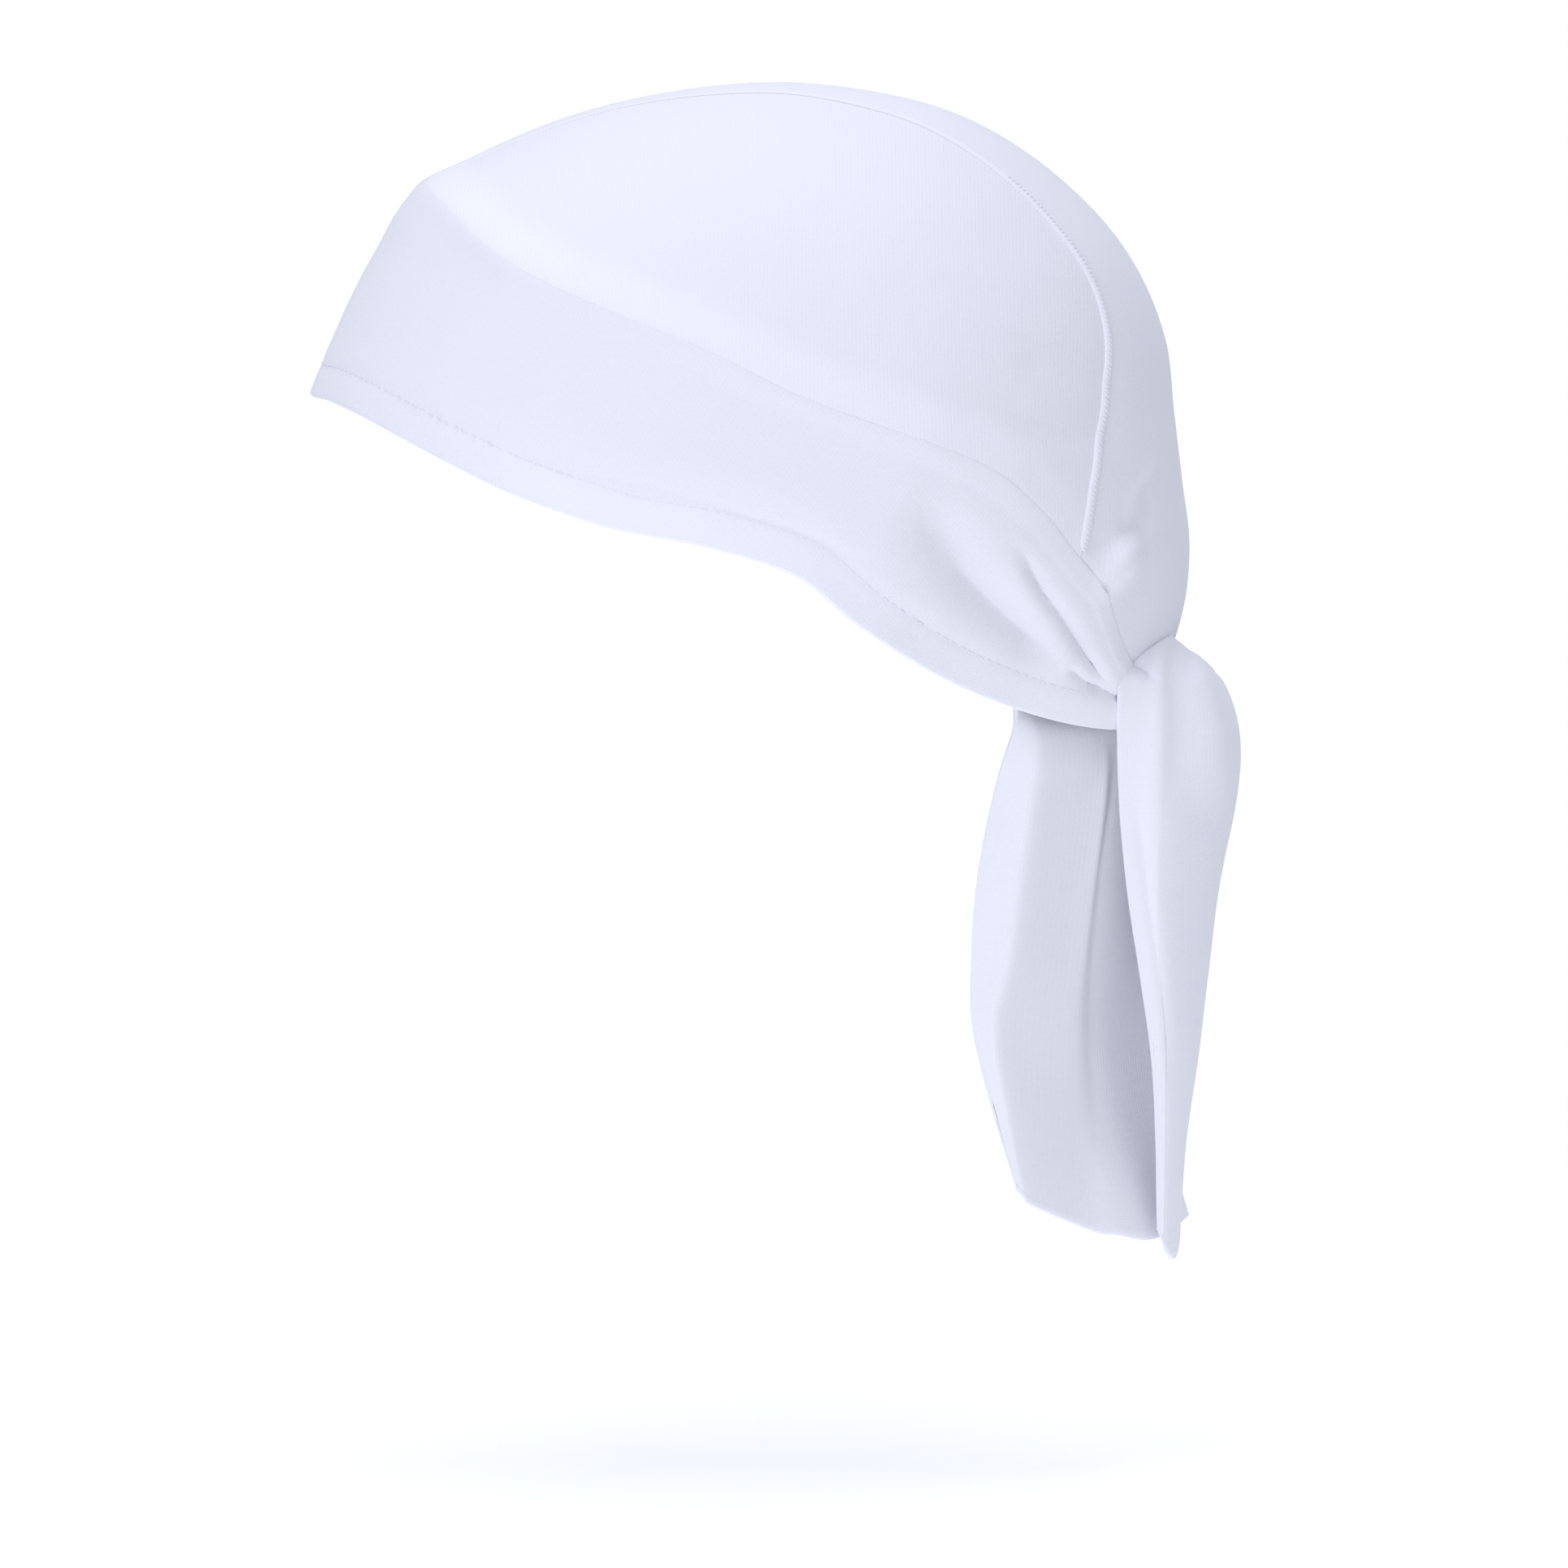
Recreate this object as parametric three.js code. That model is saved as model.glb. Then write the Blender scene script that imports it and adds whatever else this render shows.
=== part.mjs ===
// Knit skull cap with two ties, knotted at the nape as it is worn.
// Millimetres, +Z up, the forehead at -Y and the wearer's left at +X.
// The origin is the inside of the crown's highest point, where the cap sits.

import * as THREE from 'three';
import { mergeVertices } from 'three/addons/utils/BufferGeometryUtils.js';

// Driving sizes
const WALL = 1.5; // doubled knit with its hem
const GAP = 0.3; // between neighbouring panels
const HALF_WIDTH = 78; // at the widest place, over the ears
const ROUNDNESS = 2.3; // exponent of the width's curve, 2 is an ellipse
const HUB = { y: 3.5, z: -74.3 }; // the outline below is measured from here
const TIP_WIDTH = 1.2; // a side panel's two points are this wide
const SEAM_STEPS = 30; // faces along the seam, the same on both sides of it
const NAPE_STEPS = 8; // faces from the seam's foot down to the nape
const LINE_STEPS = 90; // places that a line on the form is drawn through
const FOLD_STEPS = 28; // places along a fold, to measure from
const BAND_TOP_STEPS = 240; // places along the band's upper edge, to measure from

// The cap's outline on its middle plane: angle from straight back, up is
// positive, and the distance from the hub in that direction.
const OUTLINE = [
  { angle: -150, reach: 121.0 },
  { angle: -120, reach: 124.0 },
  { angle: -90, reach: 118.0 },
  { angle: -55, reach: 107.0 },
  { angle: -40, reach: 104.5 },
  { angle: -30, reach: 101.2 },
  { angle: -20, reach: 96.1 },
  { angle: -10, reach: 89.8 },
  { angle: 0, reach: 86.6 },
  { angle: 10, reach: 86.2 },
  { angle: 27, reach: 83.8 },
  { angle: 42, reach: 80.4 },
  { angle: 63, reach: 77.2 },
  { angle: 80, reach: 75.5 },
  { angle: 92, reach: 75.9 },
  { angle: 105, reach: 77.8 },
  { angle: 118, reach: 81.8 },
  { angle: 134, reach: 90.0 },
  { angle: 143, reach: 96.0 },
  { angle: 151, reach: 102.6 },
  { angle: 160, reach: 105.3 },
  { angle: 170, reach: 109.5 },
  { angle: 180, reach: 115.0 },
];

// Lower edge of the band, from the forehead back to the knot, left side.
const RIM = [
  { x: 0, y: -110.5, z: -70.7 },
  { x: 18.9, y: -109.0, z: -71.3 },
  { x: 30.4, y: -105.1, z: -71.9 },
  { x: 45.0, y: -96.2, z: -75.3 },
  { x: 60.5, y: -77.8, z: -84.1 },
  { x: 68.9, y: -58.7, z: -92.1 },
  { x: 73.8, y: -37.6, z: -99.0 },
  { x: 76.0, y: -18.1, z: -102.8 },
  { x: 75.8, y: 2.8, z: -109.7 },
  { x: 73.6, y: 14.2, z: -119.2 },
  { x: 65.9, y: 34.6, z: -133.1 },
  { x: 55.3, y: 51.6, z: -140.9 },
  { x: 38.6, y: 67.5, z: -146.0 },
  { x: 23.9, y: 76.3, z: -146.1 },
  { x: 14.6, y: 78.5, z: -146.0 },
];

// Upper edge of the band, from the forehead back to the knot, left side.
const BAND_TOP = [
  { x: 0, y: -83.3, z: -22.7 },
  { x: 20.5, y: -82.2, z: -23.7 },
  { x: 41.6, y: -75.7, z: -29.4 },
  { x: 61.2, y: -60.3, z: -41.9 },
  { x: 71.4, y: -40.3, z: -51.3 },
  { x: 76.8, y: -15.2, z: -61.4 },
  { x: 77.9, y: 1.8, z: -69.5 },
  { x: 77.5, y: 17.0, z: -75.4 },
  { x: 75.2, y: 33.0, z: -81.2 },
  { x: 71.6, y: 46.0, z: -87.0 },
  { x: 67.6, y: 55.5, z: -94.6 },
  { x: 59.8, y: 66.6, z: -107.6 },
  { x: 54.5, y: 71.6, z: -114.0 },
  { x: 47.6, y: 74.9, z: -124.3 },
  { x: 36.0, y: 78.5, z: -133.0 },
  { x: 24.0, y: 83.5, z: -135.0 },
  { x: 14.6, y: 86.0, z: -135.0 },
];

// Seam between the centre and the side panel, from the band over the crown
// and down to the band again, left side.
const SEAM = [
  { x: 19.0, y: -82.4, z: -23.6 },
  { x: 20.5, y: -56.0, z: -9.0 },
  { x: 23.0, y: -28.0, z: -2.0 },
  { x: 27.5, y: 0.0, z: -1.0 },
  { x: 34.2, y: 27.0, z: -7.0 },
  { x: 40.5, y: 47.8, z: -20.4 },
  { x: 44.0, y: 61.0, z: -33.0 },
  { x: 47.1, y: 71.0, z: -48.9 },
  { x: 52.9, y: 72.1, z: -71.1 },
  { x: 58.8, y: 68.6, z: -92.0 },
  { x: 60.4, y: 66.2, z: -106.0 },
];

// The centre panel's lower end, tucked in under the band and the knot.
const NAPE = [
  { x: 35.0, y: 79.0, z: -132.8 },
  { x: 26.0, y: 82.0, z: -136.6 },
  { x: 14.0, y: 84.0, z: -138.6 },
  { x: 0, y: 85.0, z: -139.2 },
];
const TUCK = { depth: 2.4, from: -127, to: -133 };
const END_BOW = 4; // how soon the panel's ends give way to its side edges
const KNOT_DENT = { depth: 2.8, width: 14, y: 84, z: -139 };

// Folds and dents of the cloth, each along a curve through three places on
// the cap. The height is below the surface when it is negative.
const FOLDS = [
  { name: 'tuck over the ear', height: -1.8, width: 3.2,
    from: { y: -50, z: -86 }, by: { y: -10, z: -95.2 }, to: { y: 22, z: -105 } },
  { name: 'roll under the tuck', height: 1.1, width: 3.6,
    from: { y: -46, z: -91 }, by: { y: -10, z: -100 }, to: { y: 16, z: -110 } },
  { name: 'deep fold to the knot', height: -3.6, width: 3.6,
    from: { y: 50, z: -99 }, by: { y: 60.5, z: -115.5 }, to: { y: 74, z: -138 } },
  { name: 'roll over the deep fold', height: 1.4, width: 4.5,
    from: { y: 52, z: -94 }, by: { y: 64, z: -112 }, to: { y: 75, z: -132 } },
  { name: 'broad valley behind the ear', height: -2.2, width: 7,
    from: { y: 24, z: -98 }, by: { y: 43, z: -116 }, to: { y: 60, z: -130 } },
  { name: 'short fold at the hem', height: -1.8, width: 3,
    from: { y: 62, z: -131.5 }, by: { y: 67, z: -135.5 }, to: { y: 76, z: -140.3 } },
  { name: 'dent ahead of the seam', height: -0.9, width: 8,
    from: { y: 52, z: -62 }, by: { y: 60, z: -68 }, to: { y: 70, z: -72 } },
  { name: 'lower dent ahead of the seam', height: -0.9, width: 7,
    from: { y: 50, z: -80 }, by: { y: 58, z: -86 }, to: { y: 67, z: -90 } },
  { name: 'puff behind the seam', height: 2.6, width: 5,
    from: { y: 68, z: -100 }, by: { y: 73, z: -106 }, to: { y: 76, z: -116 } },
  { name: 'soft crease at the back', height: -1.2, width: 6,
    from: { y: 84, z: -82 }, by: { y: 80, z: -93 }, to: { y: 74, z: -104 } },
];

const FOLD_FADE = 0.3; // share of a fold over which each of its ends fades

// The crown's cloth rolls over the seam of the band and pulls in at the seam.
// Both fade out on the way round from the forehead, at 0, to the knot, at 1.
const ROLL = { height: 1.3, width: 6, above: 7, from: 0.55, to: 0.8 };
const PULL = { height: -1.0, width: 4.5, from: 0.75, to: 0.95 };

// The band is pleated and lifts off the nape where it runs into the knot.
const PLEATS = { count: 5, height: 1.1, lift: 4.2, start: 0.9 };

// The outer tie end. Each row is a level section: four places on the cloth
// from its near hem, by the front fold and the back, to its far hem.
const TAIL_OVER = {
  stations: ['near', 'fold', 'back', 'far'],
  top: { near: -132, fold: -130, back: -126.8, far: -127.6 },
  foot: { near: -263.5, fold: -268.5, back: -272, far: -255 },
  sections: [
    { z: -127, near: [41.0, 78.5], fold: [25.0, 88.6], back: [10.0, 92.4], far: [-10.0, 92.0] },
    { z: -133, near: [41.5, 77.6], fold: [36.0, 87.0], back: [15.0, 97.2], far: [-11.0, 96.2] },
    { z: -140, near: [41.5, 77.0], fold: [37.5, 88.0], back: [17.0, 102.2], far: [-11.5, 99.5] },
    { z: -147, near: [40.5, 76.7], fold: [38.0, 88.5], back: [18.0, 104.5], far: [-11.0, 101.0] },
    { z: -155, near: [39.0, 76.6], fold: [38.0, 88.5], back: [18.0, 105.4], far: [-10.0, 101.0] },
    { z: -167, near: [37.5, 76.8], fold: [37.0, 88.0], back: [18.0, 104.2], far: [-7.0, 100.0] },
    { z: -186, near: [35.0, 78.3], fold: [35.0, 87.0], back: [18.0, 101.0], far: [-2.0, 97.0] },
    { z: -205, near: [32.0, 81.3], fold: [32.5, 87.5], back: [18.5, 97.8], far: [3.0, 94.5] },
    { z: -224, near: [30.0, 84.0], fold: [30.5, 88.0], back: [20.5, 95.4], far: [8.0, 93.0] },
    { z: -243, near: [28.5, 85.1], fold: [28.8, 88.0], back: [22.0, 92.6], far: [13.0, 92.0] },
    { z: -256, near: [27.5, 85.4], fold: [27.8, 87.8], back: [23.0, 91.5], far: [16.5, 91.5] },
    { z: -272, near: [26.5, 85.8], fold: [26.8, 87.6], back: [24.0, 90.3], far: [20.0, 91.0] },
  ],
};

// The inner tie end, from its hem beside the neck, by the edge of the turned
// strip, the lip and the valley of its long fold, to its hem behind the neck.
const TAIL_UNDER = {
  stations: ['hem', 'strip', 'lip', 'valley', 'back', 'far'],
  top: { hem: -138, strip: -138, lip: -138, valley: -138, back: -138.5, far: -139 },
  foot: { hem: -253.2, strip: -257, lip: -263.2, valley: -265.2, back: -265.8, far: -260.5 },
  sections: [
    { z: -138, hem: [50.0, 49.0], strip: [44.5, 54.0], lip: [31.0, 64.5],
      valley: [27.0, 66.5], back: [19.0, 70.5], far: [9.5, 76.0] },
    { z: -146, hem: [49.0, 50.0], strip: [46.2, 57.0], lip: [33.8, 70.2],
      valley: [28.0, 71.8], back: [18.5, 74.6], far: [8.0, 81.0] },
    { z: -152, hem: [47.8, 49.2], strip: [46.8, 57.4], lip: [34.4, 73.0],
      valley: [27.5, 73.8], back: [18.5, 77.0], far: [9.0, 83.5] },
    { z: -160, hem: [46.0, 47.3], strip: [46.5, 56.5], lip: [34.0, 74.2],
      valley: [27.0, 74.5], back: [18.5, 79.0], far: [10.5, 85.0] },
    { z: -182, hem: [44.0, 43.2], strip: [46.0, 53.5], lip: [33.0, 70.0],
      valley: [22.5, 71.5], back: [16.5, 77.8], far: [10.5, 85.0] },
    { z: -200, hem: [43.0, 42.0], strip: [45.5, 51.0], lip: [32.0, 67.5],
      valley: [20.0, 70.0], back: [15.0, 77.5], far: [10.5, 86.0] },
    { z: -214, hem: [42.5, 42.2], strip: [45.0, 47.8], lip: [31.5, 67.0],
      valley: [19.0, 70.0], back: [14.5, 78.5], far: [10.5, 87.5] },
    { z: -236, hem: [42.0, 47.5], strip: [43.0, 51.0], lip: [28.5, 67.8],
      valley: [18.5, 71.5], back: [14.0, 80.8], far: [10.0, 90.5] },
    { z: -253, hem: [41.0, 52.7], strip: [40.0, 56.5], lip: [26.0, 70.0],
      valley: [19.8, 75.0], back: [14.5, 84.0], far: [9.0, 94.6] },
    { z: -266, hem: [39.0, 55.5], strip: [37.5, 59.5], lip: [24.0, 72.0],
      valley: [19.0, 77.5], back: [14.0, 85.5], far: [9.0, 94.6] },
  ],
};

// The knot: a wrap of pleated cloth round the crossing of the ties.
const KNOT = {
  x: 0, y: 89.6, z: -142.5,
  halfWidth: 14.3, halfDepth: 10.4, halfHeight: 9.5,
  pleats: 7, pleatDepth: 0.9, waist: 0.12, waistWidth: 0.35,
};

const KNIT = { color: 0xebedfd, roughness: 0.92, metalness: 0 };

const { lerp, smoothstep } = THREE.MathUtils;

// The form that the cap is pulled over
const turns = [-360, 0, 360];
const outline = turns.flatMap((turn) =>
  OUTLINE.map((row) => ({ angle: row.angle + turn, reach: row.reach })));
const reachAt = new THREE.CubicInterpolant(
  outline.map((row) => row.angle), outline.map((row) => row.reach), 1);

// How far out towards the outline a place lies, seen from the side
function level(y, z) {
  const [back, up] = [y - HUB.y, z - HUB.z];
  const reach = reachAt.evaluate(THREE.MathUtils.radToDeg(Math.atan2(up, back)))[0];
  return Math.hypot(back, up) / reach;
}

// 1 on the form, less inside it
function fullness({ x, y, z }) {
  return (level(y, z) ** ROUNDNESS + Math.abs(x / HALF_WIDTH) ** ROUNDNESS) ** (1 / ROUNDNESS);
}

// The place on the form's left side that is seen at y, z from there
function onLeftSide({ y, z }) {
  const x = HALF_WIDTH * (1 - level(y, z) ** ROUNDNESS) ** (1 / ROUNDNESS);
  return new THREE.Vector3(x, y, z);
}

// Moves a point to the form, straight away from the hub
function onForm(point) {
  const hub = new THREE.Vector3(0, HUB.y, HUB.z);
  return point.clone().sub(hub).divideScalar(fullness(point)).add(hub);
}

function formNormal(point) {
  const step = 0.05;
  const slope = (axis) => {
    const ahead = point.clone();
    const behind = point.clone();
    ahead[axis] += step;
    behind[axis] -= step;
    return fullness(ahead) - fullness(behind);
  };
  return new THREE.Vector3(slope('x'), slope('y'), slope('z')).normalize();
}

// A smooth line on the form through a table's places
function lineOnForm(places) {
  const through = new THREE.CatmullRomCurve3(places.map((p) => new THREE.Vector3(p.x, p.y, p.z)));
  const line = new THREE.CatmullRomCurve3(through.getSpacedPoints(LINE_STEPS).map(onForm));
  line.arcLengthDivisions = 10 * LINE_STEPS;
  return line;
}

const mirrored = (p) => ({ x: -p.x, y: p.y, z: p.z });
const bothSides = (places) => [...places.slice(1).reverse().map(mirrored), ...places];

// The band's edges run from the right end of the knot, by the forehead, to the left
const rim = lineOnForm(bothSides(RIM));
const bandTop = lineOnForm(bothSides(BAND_TOP));
const seam = lineOnForm(SEAM);
const nape = lineOnForm([...NAPE, ...NAPE.slice(0, -1).reverse().map(mirrored)]);

// How far along a line the place nearest to a point is
function nearestOn(line, point, steps = 600) {
  let best = { distance: Infinity, along: 0 };
  for (let i = 0; i <= steps; i++) {
    const distance = line.getPointAt(i / steps).distanceTo(point);
    if (distance < best.distance) best = { distance, along: i / steps };
  }
  return best;
}

// Folds as rows of places on the left side
const foldLines = FOLDS.map((fold) => {
  const line = new THREE.CatmullRomCurve3([fold.from, fold.by, fold.to].map(onLeftSide));
  return { ...fold, points: line.getSpacedPoints(FOLD_STEPS).map(onForm) };
});

const bandTopPoints = bandTop.getSpacedPoints(BAND_TOP_STEPS);

function nearest(points, point) {
  let distance = Infinity;
  let along = 0;
  points.forEach((p, i) => {
    const d = p.distanceTo(point);
    if (d < distance) {
      distance = d;
      along = i / (points.length - 1);
    }
  });
  return { distance, along };
}

const bump = (distance, width) => Math.exp(-((distance / width) ** 2));

// Height of the cloth over the form at a place on it
function relief(point, onCrown) {
  const left = new THREE.Vector3(Math.abs(point.x), point.y, point.z);
  let height = 0;
  for (const fold of foldLines) {
    const { distance, along } = nearest(fold.points, left);
    const fade = smoothstep(Math.min(along, 1 - along), 0, FOLD_FADE);
    height += fold.height * bump(distance, fold.width) * fade;
  }
  const edge = nearest(bandTopPoints, point);
  const round = Math.abs(edge.along - 0.5) * 2; // 0 at the forehead, 1 at the knot
  const pull = PULL.height * bump(edge.distance, PULL.width);
  height += pull * (1 - smoothstep(round, PULL.from, PULL.to));
  if (onCrown) {
    const roll = ROLL.height * bump(edge.distance - ROLL.above, ROLL.width);
    height += roll * (1 - smoothstep(round, ROLL.from, ROLL.to));
  }
  return height;
}

// A closed sheet of cloth. The surface gives its outer face and the way out;
// across runs to the right and up runs upwards, seen from outside.
function cloth(columns, rows, surface) {
  const slab = new THREE.BoxGeometry(1, 1, 1, columns, rows, 1);
  slab.deleteAttribute('normal');
  slab.deleteAttribute('uv');
  const shape = mergeVertices(slab);
  const place = shape.attributes.position;
  for (let i = 0; i < place.count; i++) {
    const { point, out } = surface(place.getX(i) + 0.5, place.getY(i) + 0.5);
    const depth = place.getZ(i) > 0 ? 0 : WALL;
    point.addScaledVector(out, -depth);
    place.setXYZ(i, point.x, point.y, point.z);
  }
  shape.computeVertexNormals();
  return shape;
}

// A place half a gap off a line in the cloth: side 1 is to the right of the
// line's run as seen from outside, side -1 to its left
function besideLine(line, along, side) {
  const step = 0.002;
  const place = line.getPointAt(along);
  const onwards = line.getPointAt(Math.min(along + step, 1));
  onwards.sub(line.getPointAt(Math.max(along - step, 0)));
  return place.add(onwards.cross(formNormal(place)).setLength((side * GAP) / 2));
}

function raised(point, onCrown, extra = 0) {
  const out = formNormal(point);
  return { point: point.clone().addScaledVector(out, relief(point, onCrown) + extra), out };
}

// The band: pleats deepen towards both of its ends
function bandSurface(across, up) {
  const point = onForm(rim.getPointAt(across).lerp(besideLine(bandTop, across, 1), up));
  const round = Math.abs(across - 0.5) * 2;
  const gathered = smoothstep(round, PLEATS.start, 1);
  const pleat = Math.cos(up * PLEATS.count * 2 * Math.PI) - 1;
  return raised(point, false, gathered * (PLEATS.height * pleat / 2 + PLEATS.lift));
}

// Where the seam's two ends lie along the band's upper edge
const frontOnBand = nearestOn(bandTop, seam.getPointAt(0)).along;
const backOnBand = nearestOn(bandTop, seam.getPointAt(1)).along;
const napeOnBand = nearestOn(bandTop, nape.getPointAt(0)).along;

// A side panel's lower and upper edges at the same share of its length
function sideEdges(share) {
  const onBand = lerp(frontOnBand, backOnBand, share);
  return { low: besideLine(bandTop, onBand, -1), high: besideLine(seam, share, 1) };
}

// A side panel stops where it is this narrow, short of the two corners
function firstWideShare(from, step) {
  let share = from;
  for (;;) {
    const { low, high } = sideEdges(share);
    if (low.distanceTo(high) > TIP_WIDTH) return share;
    share += step;
  }
}

const sideStart = firstWideShare(0, 0.0005);
const sideEnd = firstWideShare(1, -0.0005);

function sideSurface(across, up) {
  const { low, high } = sideEdges(THREE.MathUtils.clamp(across, sideStart, sideEnd));
  return raised(onForm(low.lerp(high, up)), true);
}

// The right panel is the left one in a mirror
function mirrorSurface(surface) {
  return (across, up) => {
    const { point, out } = surface(1 - across, up);
    point.x *= -1;
    out.x *= -1;
    return { point, out };
  };
}

// The centre panel's left edge follows the seam, then the band down to the nape
function centreEdge(along) {
  const step = Math.round(along * (SEAM_STEPS + NAPE_STEPS));
  if (step <= SEAM_STEPS) return besideLine(seam, Math.min(step / SEAM_STEPS, sideEnd), -1);
  const share = (step - SEAM_STEPS) / NAPE_STEPS;
  return besideLine(bandTop, lerp(backOnBand, napeOnBand, share), -1);
}

// How far a line bows from the straight line between two places along it
function bow(line, start, end, share) {
  const chord = line.getPointAt(start).lerp(line.getPointAt(end), share);
  return line.getPointAt(lerp(start, end, share)).sub(chord);
}

function centreSurface(along, over) {
  const edge = centreEdge(along);
  const point = edge.clone().lerp(edge.setX(-edge.x), over);
  const atFront = (1 - along) ** END_BOW;
  point.addScaledVector(bow(bandTop, frontOnBand, 1 - frontOnBand, over), atFront);
  point.addScaledVector(bow(nape, 0, 1, over), along ** END_BOW);
  point.z += GAP * atFront; // clear of the band
  const place = onForm(point);
  const tuck = TUCK.depth * (1 - smoothstep(place.z, TUCK.to, TUCK.from));
  const knot = new THREE.Vector3(0, KNOT_DENT.y, KNOT_DENT.z);
  const dent = KNOT_DENT.depth * bump(place.distanceTo(knot), KNOT_DENT.width);
  return raised(place, true, -tuck - dent);
}

// A hanging tie end, from its table of sections
function tailSurface(tail) {
  const count = tail.stations.length;
  const heights = tail.sections.map((row) => -row.z);
  const tracks = tail.stations.map((station) => [0, 1].map((axis) =>
    new THREE.CubicInterpolant(heights, tail.sections.map((row) => row[station][axis]), 1)));
  const edge = (ends, across) => new THREE.CubicInterpolant(
    tail.stations.map((_, i) => i), tail.stations.map((station) => ends[station]), 1,
  ).evaluate(across * (count - 1))[0];
  const at = (across, up) => {
    const z = lerp(edge(tail.foot, across), edge(tail.top, across), up);
    const level = THREE.MathUtils.clamp(-z, heights[0], heights.at(-1));
    const section = new THREE.CatmullRomCurve3(tracks.map(([x, y]) =>
      new THREE.Vector3(x.evaluate(level)[0], y.evaluate(level)[0], z)));
    return section.getPoint(across);
  };
  return (across, up) => {
    const step = 0.004;
    const sideways = at(Math.min(across + step, 1), up).sub(at(Math.max(across - step, 0), up));
    const upwards = at(across, Math.min(up + step, 1)).sub(at(across, Math.max(up - step, 0)));
    return { point: at(across, up), out: sideways.cross(upwards).normalize() };
  };
}

// The knot: a round wrap, pleated round its waist
function knotShape() {
  const shape = mergeVertices(roundBlank());
  const place = shape.attributes.position;
  for (let i = 0; i < place.count; i++) {
    const p = new THREE.Vector3().fromBufferAttribute(place, i);
    const turn = Math.atan2(p.z, p.y);
    const off = Math.hypot(p.y, p.z);
    const groove = (KNOT.pleatDepth / KNOT.halfHeight) * (0.5 + 0.5 * Math.cos(turn * KNOT.pleats));
    const pleat = 1 - groove * off;
    const waist = 1 - KNOT.waist * bump(p.x, KNOT.waistWidth);
    place.setXYZ(i,
      KNOT.x + p.x * KNOT.halfWidth,
      KNOT.y + p.y * KNOT.halfDepth * pleat * waist,
      KNOT.z + p.z * KNOT.halfHeight * pleat * waist);
  }
  shape.computeVertexNormals();
  return shape;
}

// A ball with its poles on the left and right
function roundBlank() {
  const ball = new THREE.SphereGeometry(1, 24, 12);
  ball.deleteAttribute('normal');
  ball.deleteAttribute('uv');
  ball.rotateZ(-Math.PI / 2);
  return ball;
}

function piece(name, shape) {
  const mesh = new THREE.Mesh(shape, new THREE.MeshStandardMaterial(KNIT));
  mesh.name = name;
  return mesh;
}

const cap = new THREE.Group();
cap.name = 'skull_cap';
cap.add(
  piece('brow_band', cloth(76, 11, bandSurface)),
  piece('side_panel_left', cloth(SEAM_STEPS, 13, sideSurface)),
  piece('side_panel_right', cloth(SEAM_STEPS, 13, mirrorSurface(sideSurface))),
  piece('centre_panel', cloth(SEAM_STEPS + NAPE_STEPS, 10, centreSurface)),
  piece('knot', knotShape()),
  piece('tail_over', cloth(12, 22, tailSurface(TAIL_OVER))),
  piece('tail_under', cloth(12, 22, tailSurface(TAIL_UNDER))),
);

export default cap;
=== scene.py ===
# Looks of a knit skull cap with two ties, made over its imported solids.
# Tables and surfaces are in millimetres, in the part's frame: +Z up, the
# cap's front at -Y and its wearer's left at +X. Meshes are made in metres.

import math

import bmesh
import bpy
import numpy as np
from mathutils import Matrix, Vector, noise


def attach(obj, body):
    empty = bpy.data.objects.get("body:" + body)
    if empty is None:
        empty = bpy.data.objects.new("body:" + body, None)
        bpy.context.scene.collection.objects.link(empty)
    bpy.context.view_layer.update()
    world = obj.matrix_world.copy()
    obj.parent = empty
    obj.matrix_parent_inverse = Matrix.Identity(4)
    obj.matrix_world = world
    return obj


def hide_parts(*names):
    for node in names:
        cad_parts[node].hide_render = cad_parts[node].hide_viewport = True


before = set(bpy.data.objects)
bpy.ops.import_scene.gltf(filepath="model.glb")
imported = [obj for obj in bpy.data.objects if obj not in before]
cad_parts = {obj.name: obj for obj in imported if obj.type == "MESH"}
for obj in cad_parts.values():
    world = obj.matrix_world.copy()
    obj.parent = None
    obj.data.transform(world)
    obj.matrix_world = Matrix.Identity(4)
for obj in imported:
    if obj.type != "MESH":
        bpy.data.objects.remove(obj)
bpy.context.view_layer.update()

MM = 0.001

# Camera and floor
CAMERA_PLACE = Vector((1.8, -0.0007, -0.0393))
CAMERA_TARGET = Vector((0.0, -0.0007, -0.1620))
CAMERA_LENS = 176.93
CAMERA_SENSOR = 36  # width, in millimetres
LIT_PLACE = Vector((0, 0, -0.1))
FLOOR_HEIGHT = -0.322
FLOOR_RADIUS = 0.75
FLOOR_FADE = (0.12, 0.70)  # distances between which it fades into white

WORLD_LIGHT = 0.588
LIGHTS = [
    # name, place, size in metres, watts
    ("high", (1.0, -0.5, 1.2), 0.9, 4.9),
    ("left", (1.3, -1.3, 0.6), 0.9, 3.1),
    ("top", (0.0, 0.1, 1.4), 1.2, 9.8),
    ("low", (1.6, -0.4, -0.9), 0.9, 9.6),
]
LIGHT_COLOUR = (0.87, 0.895, 1.0)
WHITE = (1, 1, 1, 1)

# Looks of the knit and its thread
KNIT_COLOUR = (0.905, 0.91, 0.95, 1)
KNIT_SHADE = (0.765, 0.77, 0.81, 1)
WALE = 0.00085  # width of a column of stitches, in metres
COURSE = 0.00062  # height of a row of stitches
STITCH_LEAN = 1.3  # rows that a stitch's legs rise towards the sides of its column
STITCH_RELIEF = {"sides": 3.2, "rows": 0.28, "fuzz": 0.5}  # beside a column's own height, 1
# shares of the lighter colour: a base, painted shade in the stitches' hollows by their height, uneven
# dye, and doubled cloth painted whiter, partly as painted light
TONE_AND_PAINTED_LIGHT = {"base": 0.46, "by_height": 0.1, "cloudy": 0.1, "doubled": 0.38}  # the lighter colour's share

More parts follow.
